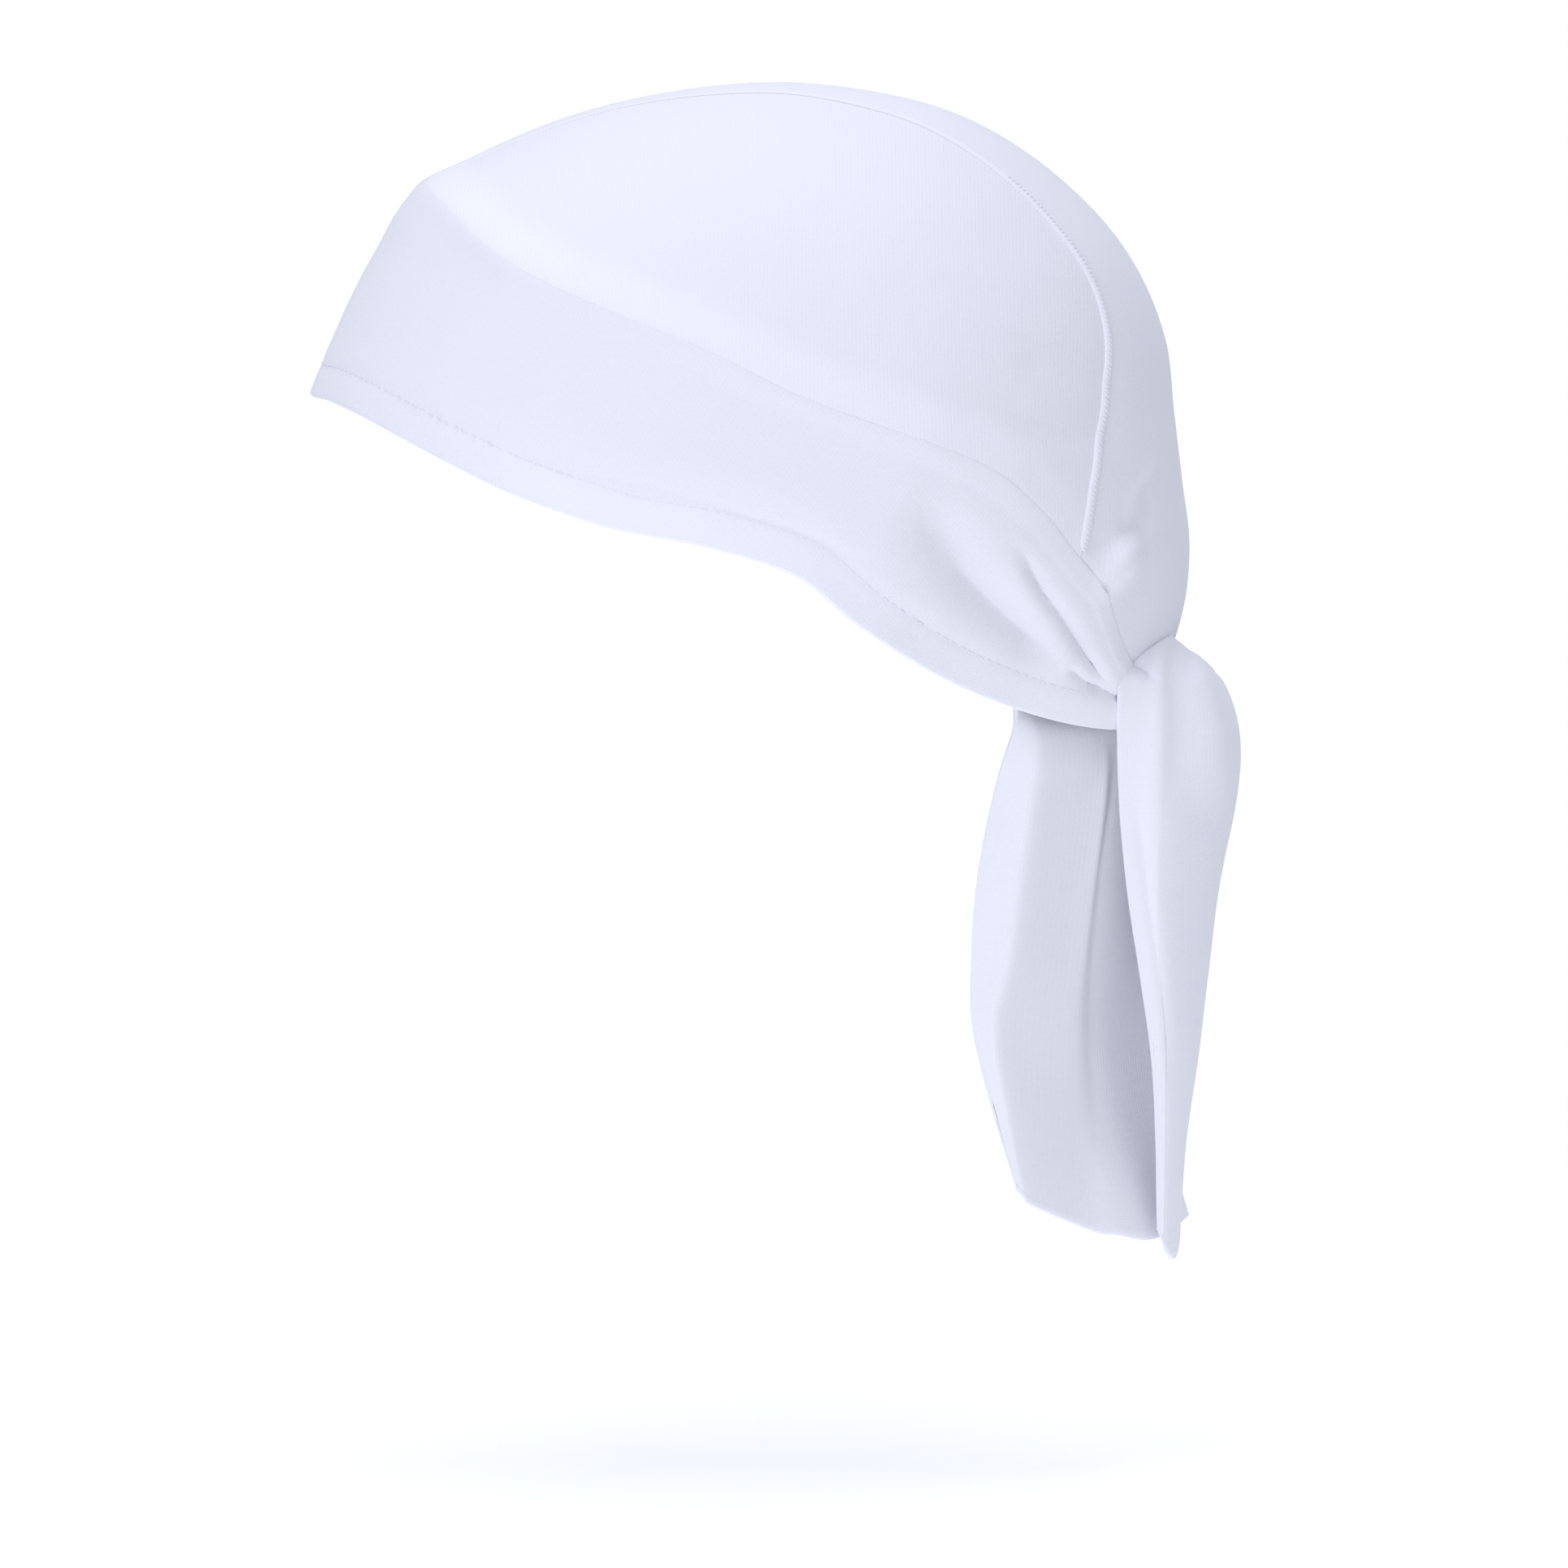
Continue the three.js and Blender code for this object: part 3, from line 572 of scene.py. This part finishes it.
def band_surface(across, up):
    low, high = rim.at(across), band_top.at(across)
    points = on_form(low + (high - low) * up[:, None])
    to_knot = round_cap(across)
    gathered = smoothstep(to_knot, PLEATS["start"], 1)
    pleat = np.cos(up * PLEATS["count"] * 2 * math.pi) - 1
    height = cloth_height(points) + gathered * PLEATS["height"] * pleat / 2
    # the hem flares, and its stitches pull it in
    tall = band_tall(across)
    off_rim = up * tall
    width = hem_width(tall)
    to_rim = 1 - np.clip(off_rim / width, 0, 1)
    height += looked_up(HEM_FLARE, to_knot) * to_rim ** HEM["curve"]
    height -= HEM["groove"] * bell(off_rim - width, HEM["line"])
    turned = smoothstep(to_knot, TOP_FOLD["from"], TOP_FOLD["to"]) * (1 - gathered)
    over_fold = tall - off_rim - TOP_FOLD["width"]
    turned *= 1 - smoothstep(over_fold, -TOP_FOLD["soft"], TOP_FOLD["soft"])
    height += TOP_FOLD["height"] * turned
    # the hem and its facing are painted whiter, partly as painted light
    hem = 1 - smoothstep(off_rim, width - HEM_WHITE["below"], width + HEM_WHITE["above"])
    facing = FACING["share"] * (1 - smoothstep(off_rim, FACING["from"], FACING["to"]))
    white = 1 - (1 - HEM_WHITE["in_front"]) * (1 - smoothstep(to_knot, *HEM_WHITE["change"]))
    lift = level_outwards(points) * band_lift(to_knot, up)[:, None]
    cloth_at = np.stack([across * rim.length, off_rim], 1)
    return raised(points, height - WALL / 2) + lift, cloth_at, np.maximum(hem, facing) * white


def crown_height(points):
    """The height of the crown's cloth, which goes on inside the band."""
    below_edge = band_top.measure(points)[0]
    return cloth_height(points) - UNDER_BAND["depth"] * smoothstep(below_edge, 0, UNDER_BAND["wide"])


def in_band(on_band, far):
    """Places inside the band, this far below its upper edge."""
    top = band_top.at(on_band)
    return top + unit(rim.at(on_band) - top) * np.reshape(far, (-1, 1))


def side_places(across, side):
    """Shares from the front along a side panel, and places along the left band."""
    along = across if side > 0 else 1 - across
    return along, front_on_band + (back_on_band - front_on_band) * along


def side_surface(across, up, side=1):
    """The left panel, or with side -1 the right one, which is cut in a mirror."""
    along, on_band = side_places(across, side)
    low = in_band(on_band if side > 0 else 1 - on_band, UNDER_BAND["wide"])
    high = seam.at(along) * (side, 1, 1)
    points = on_form(low + (high - low) * up[:, None])
    turn = np.arctan2(points[:, 0], points[:, 2] - HUB[2])
    cloth_at = np.stack([points[:, 1], -turn * HALF_WIDTH], 1) * side
    off_seam = np.abs(band_top.measure(points)[0])
    # the seam's allowance inside paints the cloth whiter above the seam, partly as painted light
    doubled = ALLOWANCE["share"] * (1 - smoothstep(off_seam, ALLOWANCE["from"], ALLOWANCE["to"]))
    return raised(points, crown_height(points) - WALL / 2), cloth_at, doubled


def seam_shows(on_band):
    """How far the edges at the band's seam show as a line."""
    return looked_up(OPEN_SEAM, round_cap(on_band))


def band_free(across, up):
    return np.where(up > 0.5, seam_shows(across), 1)


def side_free(across, up, side=1):
    along, on_band = side_places(across, side)
    by_seam = CROWN_SEAM["shows"] * smoothstep(along, *CROWN_SEAM["on_side"])
    return np.where(up < 0.5, seam_shows(on_band), by_seam)


def centre_free(along, over):
    by_seam = CROWN_SEAM["shows"] * smoothstep(along, *CROWN_SEAM["on_centre"])
    return np.where(along > SEAM_SHARE, 1, by_seam)


def centre_edge(along):
    """The panel's left edge follows the seam, then the band down to the nape.

    It ends inside the band wherever they meet."""
    by_seam = seam.at(np.clip(along / SEAM_SHARE, 0, 1))
    for on_band, nearness in (
        (front_on_band, 1 - smoothstep(along, 0, SEAM_END)),
        (back_on_band, smoothstep(along, SEAM_SHARE - SEAM_END, SEAM_SHARE)),
    ):
        end = np.full(1, on_band)
        by_seam += (in_band(end, UNDER_BAND["wide"]) - band_top.at(end)) * nearness[:, None]
    below = np.clip((along - SEAM_SHARE) / (1 - SEAM_SHARE), 0, 1)
    widened = smoothstep(below, *UNDER_BAND["widens"])
    far = UNDER_BAND["wide"] + (UNDER_BAND["at_nape"] - UNDER_BAND["wide"]) * widened
    by_band = in_band(back_on_band + (nape_on_band - back_on_band) * below, far)
    return np.where((along <= SEAM_SHARE)[:, None], by_seam, by_band)


def bow(line, start, end, share):
    """How far a line bows from straight between two places along it."""
    a, b = line.at(np.array([start, end]))
    return line.at(start + (end - start) * share) - (a + (b - a) * share[:, None])


def centre_surface(along, over):
    edge = centre_edge(along)
    points = edge + (edge * (-1, 1, 1) - edge) * over[:, None]
    points += bow(band_top, front_on_band, 1 - front_on_band, over) * ((1 - along) ** END_BOW)[:, None]
    points += bow(nape, 0, 1, over) * (along**END_BOW)[:, None]
    points = on_form(points)
    height = crown_height(points)
    height -= TUCK["depth"] * (1 - smoothstep(points[:, 2], TUCK["to"], TUCK["from"]))
    off_knot = np.linalg.norm(points - KNOT_DENT["place"], axis=1)
    height -= KNOT_DENT["depth"] * bell(off_knot, KNOT_DENT["width"])
    x, back, up = (points - HUB).T
    cloth_at = np.stack([x, np.arctan2(-back, up) * BACK_RADIUS], 1)
    at_left = np.column_stack([np.abs(x), points[:, 1:]])
    off_corner = np.linalg.norm(at_left - THREE_SEAMS_AND_HIGHLIGHT["place"], axis=1)
    lift = level_outwards(points) * sewn_lift(points)[:, None]
    # thicker cloth, painted whiter as painted light
    thick = THREE_SEAMS_AND_HIGHLIGHT["share"] * bell(off_corner, THREE_SEAMS_AND_HIGHLIGHT["width"])
    return raised(points, height - WALL / 2) + lift, cloth_at, thick


# The tie ends

class Tie:
    """A hanging tie end, from its table of level sections."""

    def __init__(self, table, top_edge, curl, length, turned, bunched_and_painted_light, fold_rows):
        self.foot, self.top_edge, self.curl, self.length = table["foot"], top_edge, curl, length
        self.turned, self.bunched_and_painted_light = turned, bunched_and_painted_light
        self.depths = [-row[0] for row in table["sections"]]
        self.tracks = [[row[1 + k] for row in table["sections"]] for k in range(len(self.foot))]
        self.heights = np.linspace(*TIE_HEIGHTS, 76)
        share = np.linspace(0, 1, 60)
        self.widths = [run_along(self.places(share, np.full(60, z)))[-1] for z in self.heights]
        self.folds = [(form, high, wide, self.fold_line(at)) for form, high, wide, at in fold_rows]

    def turned_over(self, across):
        """How far the cloth is doubled by being turned over at its near edge, which thickens it and
        paints it whiter, partly as painted light.
        """
        return 1 - smoothstep(across, self.turned - TURNED["soft"], self.turned + TURNED["soft"])

    def width(self, z):
        return np.interp(z, self.heights, self.widths)

    def places(self, across, z):
        """Points at shares across the tie and heights z."""
        at_depth = np.clip(-z, self.depths[0], self.depths[-1])
        stations = np.array([
            np.column_stack([through(self.depths, track, at_depth), z]) for track in self.tracks
        ])
        return across_stations(stations, across)

    def ways(self, across, z, step=0.006):
        """The ways out of the tie and up it."""
        right, left = np.minimum(across + step, 1), np.maximum(across - step, 0)
        sideways = self.places(right, z) - self.places(left, z)
        upwards = self.places(across, z + 0.3) - self.places(across, z - 0.3)
        return unit(np.cross(sideways, upwards)), unit(upwards)

    def fold_line(self, places):
        """A fold on the flat cloth through (share across, z) places."""
        places = np.array(places, float)
        line = through(range(len(places)), places, np.linspace(0, len(places) - 1, 120))
        return np.column_stack([line[:, 0] * self.width(line[:, 1]), line[:, 1]])

    def folded(self, across, z):
        """Height of the folds over the tie's smooth shape."""
        here = np.column_stack([across * self.width(z), z])
        height = np.zeros(len(z))
        for form, high, wide, line in self.folds:
            gap = here[:, None] - line[None]
            nearest = (gap**2).sum(2).argmin(1)
            away = np.sqrt((gap[np.arange(len(z)), nearest] ** 2).sum(1))
            share = nearest / (len(line) - 1)
            fade = smoothstep(np.minimum(share, 1 - share), *TIE_FOLD_FADE)
            height += high * fade * fold_profile(form, away, wide)
        return height

    def surface(self, across, up):
        foot = through(range(len(self.foot)), self.foot, across * (len(self.foot) - 1))[:, 0]
        top = looked_up(self.top_edge, across)
        near, far = self.curl["near"], self.curl["far"]
        radius = near + (far - near) * smoothstep(across, *CURL_CHANGE)
        start = 1 - self.curl["share"]
        z = foot + (top - radius - foot) * np.clip(up / start, 0, 1)
        turn = np.clip((up - start) / self.curl["share"], 0, 1) * self.curl["turn"]
        out, upwards = self.ways(across, z)
        hem = np.minimum(np.minimum(across, 1 - across) * self.width(z), up * self.length)
        groove = TIE_HEM["groove"] * bell(hem - TIE_HEM["width"], TIE_HEM["line"])
        groove *= 1 - smoothstep(z, *TIE_HEM_SHOWS)
        inwards = TIE_WALL / 2 + groove + radius * (1 - np.cos(turn))
        points = self.places(across, z) + out * (self.folded(across, z) - inwards)[:, None]
        points += upwards * (radius * np.sin(turn))[:, None]
        cloth_at = np.column_stack([(across - 0.5) * self.width(z), z + radius * turn])
        # hem, turned strip and bunched top are thicker and painted whiter, partly as painted light
        in_hem = 1 - smoothstep(hem - TIE_HEM["width"], -TIE_HEM["below"], TIE_HEM["above"])
        bunched_and_painted_light = self.bunched_and_painted_light * smoothstep(z, *BUNCHED_AND_PAINTED_LIGHT["heights"])
        return points, cloth_at, np.maximum.reduce([in_hem, self.turned_over(across), bunched_and_painted_light])


def across_stations(stations, share):
    """Points on a curve through stations (station, point, axis) at a share."""
    count = len(stations)
    ahead = np.concatenate([
        2 * stations[:1] - stations[1:2], stations, 2 * stations[-1:] - stations[-2:-1],
    ])
    place = np.clip(share * (count - 1), 0, count - 1 - 1e-9)
    i = place.astype(int)
    t = (place - i)[:, None]
    each = np.arange(len(share))
    p0, p1, p2, p3 = (ahead[i + k, each] for k in range(4))
    d0, d1, d2 = (
        np.maximum(np.linalg.norm(b - a, axis=1, keepdims=True) ** 0.5, 1e-4)
        for a, b in ((p0, p1), (p1, p2), (p2, p3))
    )
    t1 = ((p1 - p0) / d0 - (p2 - p0) / (d0 + d1) + (p2 - p1) / d1) * d1
    t2 = ((p2 - p1) / d1 - (p3 - p1) / (d1 + d2) + (p3 - p2) / d2) * d1
    return (
        p1 * (2 * t**3 - 3 * t**2 + 1) + t1 * (t**3 - 2 * t**2 + t)
        + p2 * (3 * t**2 - 2 * t**3) + t2 * (t**3 - t**2)
    )


outer, inner = (
    Tie(table, top, curl, TIE_LENGTH[tie], TURNED[tie], BUNCHED_AND_PAINTED_LIGHT[tie], fold_rows)
    for tie, table, top, curl, fold_rows in (
        ("over", TAIL_OVER, OVER_TOP, OVER_CURL, OVER_FOLDS),
        ("under", TAIL_UNDER, UNDER_TOP, UNDER_CURL, UNDER_FOLDS),
    )
)


def knot_surface(turn, along):
    """The wrap: pleats run slanting round it, and it narrows at its waist."""
    lat = (along - 0.5) * math.pi
    lon = turn * 2 * math.pi
    x, off = np.sin(lat), np.cos(lat)
    phase = lon * KNOT["pleats"] + KNOT["twist"] * x * math.pi
    groove = KNOT["pleat"] * (0.5 + 0.5 * np.cos(phase)) ** 2 * off
    waist = 1 - KNOT["waist"] * bell(x, KNOT["waist_width"])
    off = off * (1 - groove) * waist
    ball = np.stack([x, off * np.cos(lon), off * np.sin(lon)], 1)
    cloth_at = np.stack([turn * KNOT["round"], along * KNOT["long"]], 1)
    return KNOT["place"] + ball * KNOT["half"], cloth_at


# Meshes

def edged(shares, steps, length):
    """Moves even shares so that rows lie close together along both edges."""
    near = np.array(EDGE_ROWS) / length
    middle = np.linspace(near[-1], 1 - near[-1], steps + 3 - 2 * len(near))
    rows = np.concatenate([near[:-1], middle, 1 - near[-2::-1]])
    return rows[np.rint(shares * steps).astype(int)]


def rounding(distance, wall):
    """Thickness, as a share of the wall's, that rounds its edge off."""
    inward = 1 - np.clip(distance / (wall * EDGE_ROUND), 0, 1)
    return np.sqrt(np.clip(1 - inward**2, EDGE_LEAST, 1))


def in_scene(name, data):
    made = bpy.data.objects.new(name, data)
    bpy.context.scene.collection.objects.link(made)
    return made


def new_object(name, made, material):
    mesh = bpy.data.meshes.new(name)
    made.to_mesh(mesh)
    made.free()
    mesh.materials.append(material)
    return in_scene(name, mesh)


def new_piece(name, made, material, node=None):
    for face in made.faces:
        face.smooth = True
    piece = new_object(name, made, material)
    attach(piece, "root")
    if node:
        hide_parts(node)
    return piece


def flat_grid(columns, rows):
    """A flat grid, and the shares across and up of its places."""
    made = bmesh.new()
    bmesh.ops.create_grid(made, x_segments=columns, y_segments=rows, size=0.5)
    return made, (np.array([v.co[:2] for v in made.verts]) + 0.5).T


def laid(made, points, cloth_at):
    """Puts a grid's places on the cloth, with the cloth's own coordinates."""
    for vert, point in zip(made.verts, points * MM):
        vert.co = point
    uv = made.loops.layers.uv.new("knit")
    for face in made.faces:
        for loop in face.loops:
            loop[uv].uv = cloth_at[loop.vert.index] * MM


def closed(made):
    """Joins a rolled-up grid where it meets itself."""
    bmesh.ops.remove_doubles(made, verts=made.verts, dist=1e-7)
    bmesh.ops.recalc_face_normals(made, faces=made.faces)
    return made


# The share thickens the wall and paints the knit whiter, partly as painted light
def mark_doubled(mesh, doubled):
    layer = mesh.attributes.new("doubled", "FLOAT", "POINT")
    layer.data.foreach_set("value", np.asarray(doubled, np.float32))


def finer_at_ends(across):
    """Moves columns so that they lie closer together over the folds."""
    even = np.linspace(0, 1, 401)
    to_end = smoothstep(np.abs(2 * even - 1), *FINER_ENDS["change"])
    spread = FINER_ENDS["middle"] + (FINER_ENDS["ends"] - FINER_ENDS["middle"]) * to_end
    run = np.cumsum(spread) - spread[0]
    return np.interp(across, even, run / run[-1])


def sheet_piece(name, node, size, step, surface, walls, free=None, finer_ends=False):
    """A sheet of knit, size (across, up) in mm, in place of a CAD node.

    Its walls are the cloth's thickness and that of doubled cloth. Its edges are
    rounded as far as they are free, from 0 to 1."""
    columns, rows = steps(size[0], step), steps(size[1], step)
    made, (across, up) = flat_grid(columns, rows)
    across, up = edged(across, columns, size[0]), edged(up, rows, size[1])
    if finer_ends:
        across = finer_at_ends(across)
    points, cloth_at, doubled = surface(across, up)
    laid(made, points, cloth_at)
    piece = new_piece(name, made, knit, node)
    mark_doubled(piece.data, doubled)
    edge = np.minimum(np.minimum(across, 1 - across) * size[0], np.minimum(up, 1 - up) * size[1])
    wall, most = walls
    thin = (1 - rounding(edge, wall)) * (free(across, up) if free else 1)
    share = (wall + (most - wall) * doubled) / most * (1 - thin)
    group = piece.vertex_groups.new(name="wall")
    for index, weight in enumerate(share):
        group.add([index], float(weight), "REPLACE")
    thick = piece.modifiers.new("wall", "SOLIDIFY")
    thick.thickness = most * MM
    thick.offset = 0
    thick.vertex_group = "wall"
    return piece


def welt(name, places, outs, strip):
    """A closed strip with an oval section, laid along places on the cloth."""
    made, (along, round_it) = flat_grid(len(places) - 1, 10)
    i = np.rint(along * (len(places) - 1)).astype(int)
    run = run_along(places)
    to_end = np.minimum(run, run[-1] - run)[i]
    taper = np.sqrt(np.clip(to_end / WELT_TAPER, 0.02, 1))[:, None]
    risen = smoothstep(along, *strip["rises"])[:, None]
    high = strip["high"] * (strip["start"] + (1 - strip["start"]) * risen)
    asides = unit(np.cross(unit(np.gradient(places, axis=0)), outs))
    turn = round_it[:, None] * 2 * math.pi
    offset = asides[i] * np.cos(turn) * strip["wide"] + outs[i] * np.sin(turn) * high
    laid(made, places[i] + offset * taper, np.stack([run[i], round_it * 4 * strip["wide"]], 1))
    piece = new_piece(name, closed(made), knit)
    mark_doubled(piece.data, np.full(len(piece.data.vertices), strip["doubled"]))


def stitches(name, places, outs, stitch):
    """A row of small stitches along places on the cloth."""
    made = bmesh.new()
    places = places + outs * stitch["off"]
    run = run_along(places)
    slant = Matrix.Rotation(stitch["slant"], 4, "Z")
    size = Matrix.Diagonal((stitch["long"], stitch["wide"], stitch["wide"] * STITCH_FLAT, 1))
    for at in np.arange(stitch["pitch"] / 2, run[-1], stitch["pitch"] * (1)):
        place, after = picked(at, run, places), picked(at + 0.5, run, places)
        out, ahead = unit(picked(at, run, outs)), unit(after - place)
        turned = np.eye(4)
        turned[:3] = np.stack([ahead, unit(np.cross(out, ahead)), out, place], 1) * MM
        bmesh.ops.create_uvsphere(
            made, u_segments=8, v_segments=5, radius=1, matrix=Matrix(turned) @ slant @ size)
    new_piece(name, made, thread)


# Materials

def new_node(tree, kind, values={}):
    node = tree.nodes.new("ShaderNode" + kind)
    set_inputs(node, values)
    return node


def set_inputs(node, values):
    for name, value in values.items():
        node.inputs[name].default_value = value


def calc(tree, operation, *values):
    """A Math node of values and sockets."""
    node = new_node(tree, "Math")
    node.operation = operation
    for socket, value in zip(node.inputs, values):
        if isinstance(value, (int, float)):
            socket.default_value = value
        else:
            tree.links.new(value, socket)
    return node.outputs[0]


def new_material(name):
    material = bpy.data.materials.new(name)
    material.use_nodes = True
    return material, material.node_tree, material.node_tree.nodes["Principled BSDF"]


def coloured(tree, shader, share):
    """Colours the cloth between its shade and its lighter colour."""
    mix = new_node(tree, "Mix")
    mix.data_type = "RGBA"
    set_inputs(mix, {"A": KNIT_SHADE, "B": KNIT_COLOUR})
    tree.links.new(share, mix.inputs["Factor"])
    tree.links.new(mix.outputs["Result"], shader.inputs["Base Color"])


def bumped(tree, shader, height, strength, distance):
    bump = new_node(tree, "Bump", {"Strength": strength, "Distance": distance})
    tree.links.new(height, bump.inputs["Height"])
    tree.links.new(bump.outputs[0], shader.inputs["Normal"])


def object_noise(tree, scale, detail):
    at = new_node(tree, "TexCoord")
    made = new_node(tree, "TexNoise", {"Scale": scale, "Detail": detail})
    tree.links.new(at.outputs["Object"], made.inputs["Vector"])
    return made.outputs["Fac"]


def knit_material():
    material, tree, shader = new_material("white_jersey")
    set_inputs(shader, {
        "Roughness": 0.88, "Specular IOR Level": 0.25, "Sheen Weight": 0.2, "Sheen Roughness": 0.45,
    })
    at = new_node(tree, "UVMap")
    at.uv_map = "knit"
    parts = new_node(tree, "SeparateXYZ")
    tree.links.new(at.outputs[0], parts.inputs[0])
    # columns of V-shaped stitches, with fuzz over them
    column = calc(tree, "FRACT", calc(tree, "DIVIDE", parts.outputs[0], WALE))
    off_middle = calc(tree, "ABSOLUTE", calc(tree, "SUBTRACT", column, 0.5))
    squared = calc(tree, "MULTIPLY", off_middle, off_middle)
    rib = calc(tree, "SUBTRACT", 1.0, calc(tree, "MULTIPLY", squared, STITCH_RELIEF["sides"]))
    row = calc(tree, "DIVIDE", parts.outputs[1], COURSE)
    leaning = calc(tree, "ADD", row, calc(tree, "MULTIPLY", off_middle, STITCH_LEAN))
    wave = calc(tree, "COSINE", calc(tree, "MULTIPLY", leaning, 2 * math.pi))
    loops = calc(tree, "ADD", rib, calc(tree, "MULTIPLY", wave, STITCH_RELIEF["rows"]))
    fuzz = calc(tree, "MULTIPLY", object_noise(tree, 900, 3), STITCH_RELIEF["fuzz"])
    height = calc(tree, "ADD", loops, fuzz)
    bumped(tree, shader, height, 0.3, 0.0001)
    # painted shade darkens the yarn in the stitches' hollows, doubled cloth is
    # painted whiter, partly as painted light, and the dye is a little uneven
    doubled = new_node(tree, "Attribute")
    doubled.attribute_name = "doubled"
    share = calc(tree, "MULTIPLY_ADD", height, TONE_AND_PAINTED_LIGHT["by_height"], TONE_AND_PAINTED_LIGHT["base"])
    share = calc(tree, "ADD", share, calc(tree, "MULTIPLY", object_noise(tree, 30, 2), TONE_AND_PAINTED_LIGHT["cloudy"]))
    share = calc(tree, "MULTIPLY_ADD", doubled.outputs["Fac"], TONE_AND_PAINTED_LIGHT["doubled"], share)
    coloured(tree, shader, share)
    return material


def thread_material():
    material, tree, shader = new_material("white_thread")
    set_inputs(shader, {"Roughness": 0.6, "Specular IOR Level": 0.4})
    fibres = object_noise(tree, 2500, 2)
    bumped(tree, shader, fibres, 0.4, 0.00005)
    coloured(tree, shader, fibres)
    return material


# The camera, the light and the floor

def aimed(name, data, place, target):
    made = in_scene(name, data)
    made.location = place
    made.rotation_mode = "QUATERNION"
    made.rotation_quaternion = (target - Vector(place)).to_track_quat("-Z", "Y")
    return made


def make_camera():
    data = bpy.data.cameras.new("camera")
    data.lens = CAMERA_LENS
    data.sensor_width = CAMERA_SENSOR
    data.clip_start, data.clip_end = 0.05, 50
    bpy.context.scene.camera = aimed("camera", data, CAMERA_PLACE, CAMERA_TARGET)


def make_lights():
    for name, place, size, watts in LIGHTS:
        data = bpy.data.lights.new(name, "AREA")
        data.size = size
        data.energy = watts
        data.color = LIGHT_COLOUR
        aimed(name, data, place, LIT_PLACE)
    world = bpy.data.worlds.new("studio")
    bpy.context.scene.world = world
    world.use_nodes = True
    tree = world.node_tree
    shown = tree.nodes["Background"]
    set_inputs(shown, {"Color": WHITE})
    lighting = new_node(tree, "Background", {"Color": (*LIGHT_COLOUR, 1), "Strength": WORLD_LIGHT})
    rays = new_node(tree, "LightPath")
    mix = new_node(tree, "MixShader")
    tree.links.new(rays.outputs["Is Camera Ray"], mix.inputs[0])
    tree.links.new(lighting.outputs[0], mix.inputs[1])
    tree.links.new(shown.outputs[0], mix.inputs[2])
    tree.links.new(mix.outputs[0], tree.nodes["World Output"].inputs[0])
    bpy.context.scene.view_settings.view_transform = "Standard"


def make_floor():
    made = bmesh.new()
    bmesh.ops.create_circle(made, cap_ends=True, segments=96, radius=FLOOR_RADIUS)
    bmesh.ops.translate(made, verts=made.verts, vec=(0, 0, FLOOR_HEIGHT))
    material, tree, shader = new_material("pale_floor")
    set_inputs(shader, {
        "Base Color": (0.95, 0.95, 0.96, 1), "Roughness": 0.9,
        "Emission Color": WHITE, "Emission Strength": 0.3,
    })
    # the floor fades into the white round it
    place = new_node(tree, "TexCoord")
    flat, length = new_node(tree, "VectorMath"), new_node(tree, "VectorMath")
    flat.operation, length.operation = "MULTIPLY", "LENGTH"
    flat.inputs[1].default_value = (1, 1, 0)
    tree.links.new(place.outputs["Object"], flat.inputs[0])
    tree.links.new(flat.outputs[0], length.inputs[0])
    fade = new_node(tree, "MapRange", {
        "From Min": FLOOR_FADE[0], "From Max": FLOOR_FADE[1], "To Min": 1, "To Max": 0,
    })
    fade.interpolation_type = "SMOOTHSTEP"
    tree.links.new(length.outputs["Value"], fade.inputs["Value"])
    tree.links.new(fade.outputs[0], shader.inputs["Alpha"])
    new_object("floor", made, material)


make_camera()
make_lights()
make_floor()
knit = knit_material()
thread = thread_material()


# The pieces

fineness = 1.0


def steps(length, size):
    return max(10, round(length / size * fineness))


band = sheet_piece(
    "band_cloth", "brow_band", (rim.length, 56), 0.95, band_surface, (WALL, HEM_WALL), band_free, True)
left_side = sheet_piece(
    "left_side_cloth", "side_panel_left", (190, 90), 1.05, side_surface, (WALL, WALL), side_free)
right_side = sheet_piece(
    "right_side_cloth", "side_panel_right", (190, 90), 1.05,
    lambda across, up: side_surface(across, up, -1), (WALL, WALL),
    lambda across, up: side_free(across, up, -1))
centre = sheet_piece(
    "centre_cloth", "centre_panel", (235, 110), 1.0, centre_surface, (WALL, WALL), centre_free)
outer_tie = sheet_piece(
    "outer_tie", "tail_over", (66, 152), 0.75, outer.surface, (TIE_WALL, TIE_HEM_WALL))
inner_tie = sheet_piece(
    "inner_tie", "tail_under", (62, 128), 0.75, inner.surface, (TIE_WALL, TIE_HEM_WALL))

made, (turn, along) = flat_grid(steps(70, 0.7), steps(36, 0.7))
laid(made, *knot_surface(turn, along))
new_piece("knot_wrap", closed(made), knit, "knot")

# Raised welts where the centre panel is sewn to the side panels, with the
# seams' allowances inside, and the allowance of the band's seam
share = np.linspace(0.004, 0.996, 300)
for side, mirror in (("left", (1, 1, 1)), ("right", (-1, 1, 1))):
    line = seam.at(share) * mirror
    outs = form_normals(line)
    on_cloth = line + outs * cloth_height(line)[:, None]
    welt(f"{side}_seam_welt", on_cloth, outs, SEAM_WELT)
    welt(f"{side}_seam_inside", on_cloth - outs * UNDER_CLOTH, outs, TURNED_IN)
    stitches(f"{side}_seam_stitches", on_cloth[STITCHED_FROM:], outs[STITCHED_FROM:], SEAM_STITCH)

line = band_top.at(np.linspace(0.07, 0.93, 600))
outs = form_normals(line)
on_cloth = line + outs * (cloth_height(line) - UNDER_CLOTH)[:, None]
welt("band_seam_inside", on_cloth, outs, TURNED_IN)

# The hem's stitches, outside
share = np.linspace(0.035, 0.965, 700)
tall = band_tall(share)
line = band_surface(share, hem_width(tall) / tall)[0]
stitches("hem_stitches", line, form_normals(line), HEM_STITCH)
